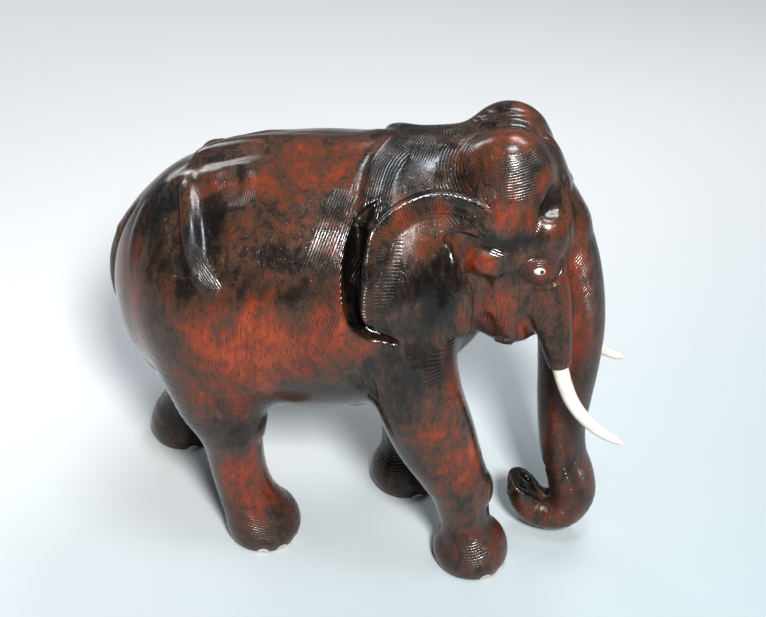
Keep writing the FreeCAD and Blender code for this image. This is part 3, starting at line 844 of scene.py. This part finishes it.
    # lids: rings round the eye
    k = near(M, (98, -70, 262), (142, -25, 310))
    q = M[k]
    e = np.sqrt(((q[:, 0] - 121.8) / 1.25) ** 2 + (q[:, 2] - 286.5) ** 2)
    A.add(k, e / 1.75, smoothstep(3.5, 5, e) * smoothstep(14.5, 12.0, e) * smoothstep(-34, -38, q[:, 1]) * 1.0)
    # temple muscle
    k = near(M, (58, -80, 276), (106, -40, 312))
    q = M[k]
    A.add(k, (q[:, 2] + 0.3 * q[:, 0]) / 1.9, 0.35 * blob(q, (95, -58, 303), (14, 12, 6)))

    # ear, outer face: a fringe square to the folded rim, level lines down the rear hem, ticks below
    k = near(M, (-12, -114, 228), (90, -44, 352))
    q = M[k]
    zl = q[:, 2] + np.where(P[k][:, 1] > 0, 5.0 * np.clip((q[:, 2] - 262) / 84.0, 0, 2), 0)
    u, run = line_d(EAR_TOP, q[:, 0], zl)
    ym = ear_y(q[:, 0], zl)
    face = smoothstep(-1.0, 1.0, -q[:, 1] - ym) * smoothstep(12, 9, -q[:, 1] - ym) * (q[:, 0] < 84)
    nout = smoothstep(0.1, 0.4, -N[k][:, 1] * np.where(right[k], 1, -1))
    face = face * nout
    A.add(k, run / 1.95 + 0.2 * wob[k], face * smoothstep(16.5, 14.0, u) * smoothstep(1.5, 3.5, u) * smoothstep(2, 8, run))
    A.add(k, (zl + 0.12 * q[:, 0]) / 2.3, face * smoothstep(18.5, 21, u) * smoothstep(26, 15, q[:, 0] + 3 * wob[k]) * smoothstep(250, 258, zl) * 0.95)
    A.add(k, (q[:, 0] + 0.15 * zl) / 2.1, face * smoothstep(250, 242, zl - 0.08 * q[:, 0]) * smoothstep(24, 36, q[:, 0]) * 0.8)
    A.add(k, (q[:, 0] - 0.5 * zl + 0.01 * (zl - 290) ** 2) / 2.2, face * 0.14 * blob(q, (33, -90, 292), (9, 40, 20), (0, 20, 0)))
    # sheaths: short rings, and the collar
    k = near(M, (108, -66, 196), (160, -24, 282))
    q = M[k]
    A.add(k, (q[:, 2] + 0.3 * (q[:, 0] - 140)) / 2.0 + 0.2 * wob[k], 0.75 * smoothstep(-34, -42, q[:, 1]) * smoothstep(276, 262, q[:, 2]) * (0.45 + 0.55 * smoothstep(222, 214, q[:, 2])))

    # flank: long slanted strokes behind the ear
    k = near(M, (-90, -112, 150), (12, -50, 345))
    q = M[k]
    s = q[:, 0] - 0.30 * (q[:, 2] - 258) + 1.5 * wob[k]
    m = smoothstep(-62, -44, s) * smoothstep(-12, -20, s) * smoothstep(176, 205, q[:, 2]) * smoothstep(328, 314, q[:, 2] + 0.35 * s)
    A.add(k, s / 2.15, m)
    # hips: brushed lines on the pan, and along the lower end of the ridge
    k = near(M, (-175, -115, 215), (-70, -10, 350))
    q = M[k]
    A.add(k, (q[:, 0] + 2.5 * wob[k]) / 1.8, 0.55 * blob(q, (-108, -46, 328), (27, 26, 20)))
    d, t = poly_dist(q, HIP)
    lat = 0.779 * q[:, 0] + 0.185 * q[:, 1] + 0.594 * q[:, 2] + 0.004 * (q[:, 2] - 285) ** 2
    A.add(k, lat / 1.7, smoothstep(10, 6, d) * smoothstep(0.42, 0.7, t) * smoothstep(1.0, 0.9, t) * 0.85)
    A.add(k, (q[:, 0] + 0.5 * q[:, 2]) / 2.2, 0.5 * blob(q, (-176, -52, 262), (20, 30, 36)))
    # belly
    k = near(M, (-90, -92, 118), (10, -30, 170))
    q = M[k]
    A.add(k, (q[:, 2] * 1.1 - 0.4 * q[:, 1]) / 2.8, 0.55 * blob(q, (-42, -70, 142), (44, 24, 18)))
    # tail: rings, then the brush
    tail = Tube(TAIL, n=52)
    k = near(P, (-232, -16, 84), (-130, 26, 320))
    T, arc, u, v, w, ra, rb = tail.frame(P[k])
    r = np.hypot(u / ra, v / rb)
    brush = arc > 226
    m = smoothstep(1.25, 1.1, r) * smoothstep(30, 50, arc)
    A.add(k, np.where(brush, np.arctan2(v, u) * 2.2, arc / 2.3), m * smoothstep(0, 4, np.abs(arc - 226)))
    return A.phase, A.mask(), B.phase, B.mask()


RED = [
    ((-78, -100, 232), (66, 50, 44), 0.75), ((-12, -103, 250), (30, 30, 46), 0.35), ((-185, -70, 235), (40, 60, 56), 0.35),
    ((36, -64, 330), (24, 24, 13), 0.6), ((99, -54, 330), (24, 22, 18), 0.75), ((16, -100, 322), (22, 30, 12), 0.55),
    ((30, -90, 305), (30, 30, 14), 0.35), ((80, -58, 292), (16, 14, 10), 0.6), ((120, -40, 352), (12, 20, 14), 0.6),
    ((112, -48, 296), (20, 16, 22), 0.25), ((150, -27, 250), (20, 22, 60), 0.95), ((122, -50, 244), (12, 16, 30), 0.3),
    ((153, -22, 140), (20, 24, 40), 0.5), ((166, -14, 50), (18, 26, 34), 0.45), ((80, -72, 205), (18, 24, 26), 0.75),
    ((58, -88, 175), (22, 20, 30), 0.5), ((80, -74, 120), (20, 22, 30), 0.55), ((-100, -92, 180), (34, 26, 44), 0.45),
    ((-100, -76, 80), (26, 24, 42), 0.42), ((96, -50, 240), (20, 22, 30), 0.35), ((-40, -50, 338), (40, 24, 14), 0.25),
    ((122, -48, 286), (15, 12, 13), 0.45), ((78, -60, 290), (10, 10, 9), 0.1),
    ((30, -95, 245), (30, 18, 12), 0.2), ((92, -30, 380), (40, 26, 14), 0.2),
]
# near-black patches of the timber, and painted shade where noted below
DARK_AND_SHADE = [
    ((-122, -72, 304), (13, 30, 34), 0.9), ((-134, -90, 268), (8, 20, 18), 0.5), ((-62, -96, 298), (24, 24, 10), 0.8),
    ((-30, -72, 332), (16, 24, 9), 0.7), ((-52, -100, 262), (14, 16, 22), 0.45), ((-165, -50, 300), (16, 34, 34), 0.6),
    ((8, -92, 205), (30, 34, 52), 0.15), ((54, -76, 284), (18, 26, 30), 0.7), ((46, -72, 352), (16, 40, 16), 0.3),
    # (-60, -60, 142) is painted shade under the belly, on both sides
    ((62, -60, 348), (12, 26, 20), 0.5), ((122, -40, 338), (14, 18, 14), 0.6), ((-60, -60, 142), (60, 60, 20), 0.5),
    # (30, 60, 100) and (-160, 70, 100) darken the whole far legs: painted shade
    ((30, 60, 100), (60, 50, 120), 0.5), ((-160, 70, 100), (60, 50, 110), 0.5), ((140, 0, 40), (24, 18, 26), 0.5),
    ((30, -80, 270), (34, 26, 40), 0.25), ((30, 0, 375), (40, 60, 14), 0.35),
    # the four entries by the ear, (-9, -84, 300), (-9, -80, 280), (2, -72, 335) and (4, -88, 250), are painted shade
    # that makes the slot behind each ear near black
    ((-9, -84, 300), (10, 26, 44), 1.0), ((-9, -80, 280), (9, 24, 44), 1.0), ((130, 0, 50), (15, 16, 15), 1.0), ((24, -36, 354), (38, 34, 17), 0.75), ((2, -72, 335), (14, 22, 14), 0.9), ((4, -88, 250), (22, 18, 12), 0.9),
    ((34, -86, 284), (42, 26, 44), 0.4), ((138, -48, 224), (14, 14, 24), 0.4), ((95, -50, 310), (26, 16, 8), 0.3),
]


def tones(P):
    """Where the timber shows red (above 0) and where it stays nearly black (below 0); below 0 also holds painted shade
    in the slot behind each ear, under the belly and over the far legs.
    """
    t = np.zeros(len(P))
    M = P.copy()
    M[:, 1] = -np.abs(P[:, 1])
    for table, sign in ((RED, 1), (DARK_AND_SHADE, -1)):
        for c, r, a in table:
            c = np.array(c, float)
            r = np.array(r, float) * 1.25
            one = c[1] > 0  # the far limbs' painted shade, on their own side only
            Q = P if one else M
            k = near(Q, c - r, c + r)
            q = (Q[k] - c) / r
            f = np.clip(1 - (q**2).sum(-1), 0, 1)
            t[k] += sign * a * f * f * (3 - 2 * f)
    return np.clip(t, -1, 1)


# ---------------------------------------------------------------- meshes
def row(v):
    """Design millimetres to row-frame metres."""
    v = np.asarray(v, float).copy()
    v[..., 0] += SHIFT
    return v / 1000.0


def add_mesh(name, v, quads, attributes=None, tris=None):
    me = bpy.data.meshes.new(name)
    v = row(v).astype(np.float32)
    me.vertices.add(len(v))
    me.vertices.foreach_set("co", v.ravel())
    nq = len(quads)
    nt = 0 if tris is None else len(tris)
    loops = np.asarray(quads, np.int32).ravel()
    starts = np.arange(nq, dtype=np.int32) * 4
    if nt:
        loops = np.concatenate([loops, np.asarray(tris, np.int32).ravel()])
        starts = np.concatenate([starts, nq * 4 + np.arange(nt, dtype=np.int32) * 3])
    me.loops.add(len(loops))
    me.loops.foreach_set("vertex_index", loops)
    me.polygons.add(nq + nt)
    me.polygons.foreach_set("loop_start", starts)
    me.update(calc_edges=True)
    me.validate()
    me.polygons.foreach_set("use_smooth", np.ones(len(me.polygons), bool))
    for key, val in (attributes or {}).items():
        a = me.attributes.new(key, "FLOAT", "POINT")
        a.data.foreach_set("value", np.asarray(val, np.float32))
    me.update()
    o = bpy.data.objects.new(name, me)
    bpy.context.scene.collection.objects.link(o)
    return o


def tube_mesh(st, n_along, n_round, side=(0, 1, 0), ripple=None):
    """A tube with rounded ends through stations (x, y, z, r)."""
    S = catmull([(x, y, z, r, r) for x, y, z, r in st], n_along)
    p, r = S[:, :3], S[:, 3].copy()
    tg = np.gradient(p, axis=0)
    tg /= np.linalg.norm(tg, axis=1, keepdims=True)
    # a rounded tip and a rounded root
    L0, L1 = r[0], r[-1]
    head = [(p[0] - tg[0] * L0 * 0.3 * (1 - c), L0 * math.sqrt(max(0.0, 1 - (1 - c) ** 2))) for c in (0.05, 0.35)]
    tip = [(p[-1] + tg[-1] * L1 * math.sin(a), L1 * math.cos(a)) for a in (0.35, 0.75, 1.15, 1.45)]
    P = np.concatenate([[h[0] for h in head], p, [t[0] for t in tip]])
    R = np.concatenate([[h[1] for h in head], r, [t[1] for t in tip]])
    T = np.concatenate([[tg[0]] * len(head), tg, [tg[-1]] * len(tip)])
    s = np.array(side, float)
    b = s - (T @ s)[:, None] * T
    b /= np.linalg.norm(b, axis=1, keepdims=True)
    a = np.cross(b, T)
    ang = np.linspace(0, 2 * np.pi, n_round, endpoint=False)
    ring = a[:, None, :] * np.cos(ang)[None, :, None] + b[:, None, :] * np.sin(ang)[None, :, None]
    RR = R[:, None] * (1 + (ripple(len(R), ang) if ripple else 0))
    V = P[:, None, :] + ring * RR[..., None]
    m = len(P)
    i, j = np.meshgrid(np.arange(m - 1), np.arange(n_round), indexing="ij")
    k = (j + 1) % n_round
    q = np.stack([i * n_round + j, i * n_round + k, (i + 1) * n_round + k, (i + 1) * n_round + j], -1).reshape(-1, 4)
    V = V.reshape(-1, 3)
    c0, c1 = len(V), len(V) + 1
    V = np.concatenate([V, [P[0] - T[0] * 0.1], [P[-1] + T[-1] * 0.05]])
    jj = np.arange(n_round)
    kk = (jj + 1) % n_round
    t = np.concatenate(
        [
            np.stack([kk, jj, np.full(n_round, c0)], -1),
            np.stack([(m - 1) * n_round + jj, (m - 1) * n_round + kk, np.full(n_round, c1)], -1),
        ]
    )
    along = np.repeat(np.linspace(0, 1, m), n_round)
    return V, q, t, np.concatenate([along, [0, 1]])


def outward(v, q, t):
    """Faces turned so that the closed form's volume is positive."""
    a, b, c, d = (v[q[:, i]] for i in range(4))
    vol = (np.einsum("ij,ij->i", a, np.cross(b, c)) + np.einsum("ij,ij->i", a, np.cross(c, d))).sum()
    a, b, c = (v[t[:, i]] for i in range(3))
    vol += np.einsum("ij,ij->i", a, np.cross(b, c)).sum()
    return (q, t) if vol > 0 else (q[:, ::-1], t[:, ::-1])


# ---------------------------------------------------------------- materials
class Nodes:
    """Small helper for node trees."""

    def __init__(s, name):
        s.m = bpy.data.materials.new(name)
        s.m.use_nodes = True
        s.t = s.m.node_tree
        s.t.nodes.clear()
        s.out = s.t.nodes.new("ShaderNodeOutputMaterial")
        s.bsdf = s.t.nodes.new("ShaderNodeBsdfPrincipled")
        s.t.links.new(s.bsdf.outputs[0], s.out.inputs[0])

    def link(s, a, b):
        s.t.links.new(a, b)

    def put(s, socket, val):
        if isinstance(val, bpy.types.NodeSocket):
            s.t.links.new(val, socket)
        elif val is not None:
            socket.default_value = val

    def coords(s, scale=(1, 1, 1), rot=(0, 0, 0)):
        tc = s.t.nodes.new("ShaderNodeTexCoord")
        mp = s.t.nodes.new("ShaderNodeMapping")
        mp.inputs["Scale"].default_value = scale
        mp.inputs["Rotation"].default_value = rot
        s.link(tc.outputs["Object"], mp.inputs["Vector"])
        return mp.outputs[0]

    def noise(s, vec, scale, detail=4, rough=0.55, dist=0.0):
        n = s.t.nodes.new("ShaderNodeTexNoise")
        n.inputs["Scale"].default_value = scale
        n.inputs["Detail"].default_value = detail
        n.inputs["Roughness"].default_value = rough
        n.inputs["Distortion"].default_value = dist
        s.link(vec, n.inputs["Vector"])
        return n.outputs["Fac"]

    def attr(s, name):
        n = s.t.nodes.new("ShaderNodeAttribute")
        n.attribute_name = name
        return n.outputs["Fac"]

    def math(s, op, a, b=None, clamp=False):
        n = s.t.nodes.new("ShaderNodeMath")
        n.operation = op
        n.use_clamp = clamp
        s.put(n.inputs[0], a)
        if b is not None:
            s.put(n.inputs[1], b)
        return n.outputs[0]

    def ramp(s, fac, stops, mode="LINEAR"):
        n = s.t.nodes.new("ShaderNodeValToRGB")
        n.color_ramp.interpolation = mode
        e = n.color_ramp.elements
        while len(e) < len(stops):
            e.new(0.5)
        for el, (p, c) in zip(e, stops):
            el.position = p
            el.color = (c, c, c, 1) if isinstance(c, (int, float)) else (*c, 1)
        s.link(fac, n.inputs[0])
        return n.outputs[0]

    def span(s, v, a, b, c=0.0, d=1.0):
        n = s.t.nodes.new("ShaderNodeMapRange")
        n.interpolation_type = "SMOOTHSTEP"
        s.link(v, n.inputs["Value"])
        for k, x in zip(("From Min", "From Max", "To Min", "To Max"), (a, b, c, d)):
            n.inputs[k].default_value = x
        return n.outputs[0]

    def mix(s, fac, a, b, kind="MIX"):
        n = s.t.nodes.new("ShaderNodeMix")
        n.data_type = "RGBA"
        n.blend_type = kind
        s.put(n.inputs["Factor"], fac)
        for sock, val in ((n.inputs[6], a), (n.inputs[7], b)):
            s.put(sock, (*val, 1) if isinstance(val, tuple) and len(val) == 3 else val)
        return n.outputs[2]

    def bump(s, height, distance, strength=1.0, normal=None):
        n = s.t.nodes.new("ShaderNodeBump")
        n.inputs["Strength"].default_value = strength
        n.inputs["Distance"].default_value = distance
        s.link(height, n.inputs["Height"])
        if normal is not None:
            s.link(normal, n.inputs["Normal"])
        return n.outputs[0]


def groove(m, phase, mask, sharp):
    """1 in the bottom of each line, 0 between them."""
    c = m.math("COSINE", m.math("MULTIPLY", m.attr(phase), 2 * math.pi))
    g = m.math("POWER", m.math("ADD", m.math("MULTIPLY", c, 0.5), 0.5), sharp)
    return m.math("MULTIPLY", g, m.attr(mask))


def wood_material():
    m = Nodes("polished_hardwood")
    plain = m.coords()
    # mottling: broad patches, blotches inside them, streaks along the grain
    broad = m.noise(m.coords((1, 1, 0.8)), 21, 3, 0.55, 0.7)
    blotch = m.noise(m.coords((1, 1, 0.62)), 74, 7, 0.70, 1.1)
    fleck = m.noise(m.coords((1, 1, 0.5)), 230, 5, 0.68, 0.6)
    streak = m.noise(m.coords((210, 210, 17)), 1, 5, 0.62, 0.35)
    pore = m.noise(m.coords((980, 980, 135)), 1, 2, 0.5)
    fine = m.noise(plain, 900, 3, 0.6)
    v = m.math("MULTIPLY", broad, 0.80)
    v = m.math("ADD", v, m.math("MULTIPLY", blotch, 0.78))
    v = m.math("ADD", v, m.math("MULTIPLY", fleck, 0.34))
    v = m.math("ADD", v, m.math("MULTIPLY", streak, 0.30))
    # this adds the red and black patches of the timber, and the painted shade in the slot behind each ear, under the
    # belly and over the far legs
    v = m.math("ADD", v, m.math("MULTIPLY", m.attr("tone_and_shade"), 0.30))
    v = m.math("SUBTRACT", v, 0.64)
    col = m.ramp(
        v,
        [
            (0.22, (0.004, 0.0028, 0.0023)),
            (0.38, (0.017, 0.0100, 0.0068)),
            (0.50, (0.042, 0.0200, 0.0122)),
            (0.62, (0.076, 0.0205, 0.0088)),
            (0.74, (0.136, 0.0215, 0.0060)),
            (0.92, (0.215, 0.0420, 0.0105)),
        ],
    )
    pores = m.span(pore, 0.58, 0.68)
    col = m.mix(m.math("MULTIPLY", pores, 0.62), col, (0.008, 0.0035, 0.0025))
    lineA = groove(m, "phaseA", "maskA", 2.2)
    lineB = groove(m, "phaseB", "maskB", 2.2)
    broken = m.span(m.noise(m.coords((1, 1, 1)), 75, 3, 0.6), 0.30, 0.55, 0.35, 1.0)
    lines = m.math("MULTIPLY", m.math("MAXIMUM", lineA, m.math("MULTIPLY", lineB, 0.8)), broken)
    col = m.mix(m.math("MULTIPLY", lines, 0.62), col, (0.006, 0.0035, 0.0028))
    m.link(col, m.bsdf.inputs["Base Color"])
    rough = m.math("ADD", m.span(blotch, 0.3, 0.7, 0.16, 0.25), m.math("MULTIPLY", lines, 0.16))
    m.link(rough, m.bsdf.inputs["Roughness"])
    m.bsdf.inputs["IOR"].default_value = 1.5
    m.bsdf.inputs["Specular IOR Level"].default_value = 0.46
    m.bsdf.inputs["Coat Weight"].default_value = 0.20
    m.bsdf.inputs["Coat Roughness"].default_value = 0.10
    height = m.math("MULTIPLY", lines, -1.0)
    b1 = m.bump(height, 0.00042)
    small = m.math("ADD", m.math("MULTIPLY", pores, -0.5), m.math("MULTIPLY", fine, 0.35))
    small = m.math("ADD", small, m.math("MULTIPLY", m.noise(plain, 140, 3, 0.5), 0.9))
    b2 = m.bump(small, 0.00016, 1.0, b1)
    m.link(b2, m.bsdf.inputs["Normal"])
    m.link(b2, m.bsdf.inputs["Coat Normal"])
    return m.m


def bone_material(name, root=False):
    m = Nodes(name)
    mott = m.noise(m.coords(), 160, 4, 0.6, 0.4)
    streak = m.noise(m.coords((260, 260, 60)), 1, 4, 0.6)
    col = m.mix(m.span(mott, 0.35, 0.75), (0.47, 0.45, 0.42), (0.38, 0.335, 0.27))
    col = m.mix(m.math("MULTIPLY", m.span(streak, 0.60, 0.78), 0.35), col, (0.22, 0.15, 0.09))
    if root:
        col = m.mix(m.math("MULTIPLY", m.span(m.attr("along"), 0.36, 0.02), 0.55), col, (0.70, 0.58, 0.38))
    m.link(col, m.bsdf.inputs["Base Color"])
    m.link(m.span(mott, 0.3, 0.7, 0.24, 0.36), m.bsdf.inputs["Roughness"])
    m.bsdf.inputs["Subsurface Weight"].default_value = 0.0
    m.bsdf.inputs["Coat Weight"].default_value = 0.25
    m.bsdf.inputs["Coat Roughness"].default_value = 0.15
    m.link(m.bump(m.math("ADD", m.math("MULTIPLY", streak, 0.7), m.math("MULTIPLY", mott, 0.3)), 0.00012), m.bsdf.inputs["Normal"])
    return m.m


def dark_material():
    m = Nodes("black_inlay")
    n = m.noise(m.coords(), 700, 3, 0.6)
    m.link(m.mix(m.span(n, 0.3, 0.7), (0.006, 0.005, 0.005), (0.022, 0.014, 0.010)), m.bsdf.inputs["Base Color"])
    m.link(m.span(n, 0.3, 0.7, 0.12, 0.22), m.bsdf.inputs["Roughness"])
    m.link(m.bump(n, 0.00005), m.bsdf.inputs["Normal"])
    m.bsdf.inputs["Coat Weight"].default_value = 0.5
    return m.m


def floor_material():
    m = Nodes("pale_floor")
    tc = m.t.nodes.new("ShaderNodeTexCoord")
    sep = m.t.nodes.new("ShaderNodeSeparateXYZ")
    m.link(tc.outputs["Object"], sep.inputs[0])
    # the floor's colour runs from FLOOR_NEAR by the camera to FLOOR_FAR: painted shade, darker near the camera, where
    # the key light falls brightest
    f = m.span(m.math("ADD", sep.outputs[1], m.math("MULTIPLY", sep.outputs[0], -0.9)), -0.6, 0.8)
    m.link(m.mix(f, FLOOR_NEAR, FLOOR_FAR), m.bsdf.inputs["Base Color"])
    m.bsdf.inputs["Roughness"].default_value = 0.9
    m.bsdf.inputs["Specular IOR Level"].default_value = 0.1
    return m.m


# FLOOR_NEAR is darker than FLOOR_FAR: painted shade that evens out the brighter key light on the near floor
FLOOR_NEAR = (0.255, 0.300, 0.310)
FLOOR_FAR = (0.52, 0.515, 0.515)

# ---------------------------------------------------------------- the body
fine_step = 1.5
body_v, body_q = mesh_of(elephant, (-232, -122, -6), (206, 122, 397), 3.0, fine_step)
body_v = smooth(body_v, body_q)
body_v[:, 2] = np.maximum(body_v[:, 2], 0)
body_n = vertex_normals(body_v, body_q)
if (body_n * body_v).sum() < 0:
    body_q = body_q[:, ::-1]
    body_n = -body_n
pa, ma, pb, mb = engrave(body_v, body_n)
body = add_mesh(
    "carved_elephant_body",
    body_v,
    body_q,
    {"phaseA": pa, "maskA": ma, "phaseB": pb, "maskB": mb, "tone_and_shade": tones(body_v)},
)
wood = wood_material()
body.data.materials.append(wood)
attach(body, "root")
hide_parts("carved_body")

# ---------------------------------------------------------------- tusks
TUSK = [
    (141.2, 42.4, 209.5, 6.3), (143.9, 43.7, 201.4, 6.3), (149.6, 46.6, 186, 6.0), (157, 50, 172.5, 5.6), (167.6, 53.2, 161, 5.1),
    (180, 56, 153, 4.4), (190, 57.5, 148.6, 3.5), (195.5, 58.3, 146.8, 2.4), (198.0, 58.6, 146.0, 1.3),
]
tusk_bone = bone_material("polished_tusk_bone", True)
for side, word in ((-1, "right"), (1, "left")):
    V, Q, T, along = tube_mesh([(x, side * y, z, r) for x, y, z, r in TUSK], 60, 40)
    Q, T = outward(V, Q, T)
    o = add_mesh("bone_tusk_" + word, V, Q, {"along": along}, T)
    o.data.materials.append(tusk_bone)
    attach(o, "root")
    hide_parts("tusk_" + word)

# ---------------------------------------------------------------- inlays
inlay = bone_material("inlay_bone_white")
dark = dark_material()
for name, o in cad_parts.items():
    if name.startswith("eye_") or name.startswith("toenail_") and name != "toenail_pins":
        mat = inlay
    elif name.startswith("pupil_") or name == "toenail_pins":
        mat = dark
    else:
        mat = wood if name == "carved_body" else tusk_bone
    o.data.materials.clear()
    o.data.materials.append(mat)

# ---------------------------------------------------------------- floor, light and camera
bpy.ops.mesh.primitive_plane_add(size=14, location=(0, 0, 0))
floor = bpy.context.object
floor.name = "studio_floor"
floor.data.materials.append(floor_material())

target = Vector((SHIFT / 1000, 0, 0.2066))


def softbox(name, direction, distance, w, h, energy, color=(1, 1, 1)):
    d = Vector(direction).normalized()
    light = bpy.data.lights.new(name, "AREA")
    light.shape = "RECTANGLE"
    light.size, light.size_y = w, h
    light.energy = energy
    light.color = color
    o = bpy.data.objects.new(name, light)
    o.location = target + d * distance
    o.rotation_euler = d.to_track_quat("Z", "Y").to_euler()
    bpy.context.scene.collection.objects.link(o)
    return o


softbox("key_softbox", (0.26, -0.74, 0.66), 2.0, 0.30, 0.38, 84)
softbox("top_softbox", (0.25, 0.50, 1.0), 2.0, 0.9, 0.5, 17, (0.93, 0.97, 1.0))
softbox("overhead_softbox", (0.12, -0.16, 1.0), 1.8, 0.55, 0.38, 13, (0.80, 0.90, 1.0))
softbox("back_strip", (-0.75, 0.75, 0.55), 2.2, 0.4, 1.3, 8, (0.95, 0.98, 1.0))

world = bpy.data.worlds.new("pale_studio")
world.use_nodes = True
bg = world.node_tree.nodes["Background"]
bg.inputs[0].default_value = (0.86, 0.91, 0.95, 1)
bg.inputs[1].default_value = 0.22
bpy.context.scene.world = world
bpy.context.scene.view_settings.view_transform = "Standard"
bpy.context.scene.view_settings.look = "Medium High Contrast"

a, e, roll = math.radians(8), math.radians(33), math.radians(2)
r0 = Vector((math.cos(a), math.sin(a), 0))
u0 = Vector((-math.sin(a) * math.sin(e), math.cos(a) * math.sin(e), math.cos(e)))
b0 = Vector((math.sin(a) * math.cos(e), -math.cos(a) * math.cos(e), math.sin(e)))
r1 = r0 * math.cos(roll) + u0 * math.sin(roll)
u1 = u0 * math.cos(roll) - r0 * math.sin(roll)
cam_data = bpy.data.cameras.new("camera")
cam_data.sensor_fit = "HORIZONTAL"
cam_data.sensor_width = 36
cam_data.lens = 36 * 1400 / 766
cam = bpy.data.objects.new("camera", cam_data)
cam.matrix_world = Matrix.Translation(target + b0 * 1.12) @ Matrix((r1, u1, b0)).transposed().to_4x4()
bpy.context.scene.collection.objects.link(cam)
bpy.context.scene.camera = cam
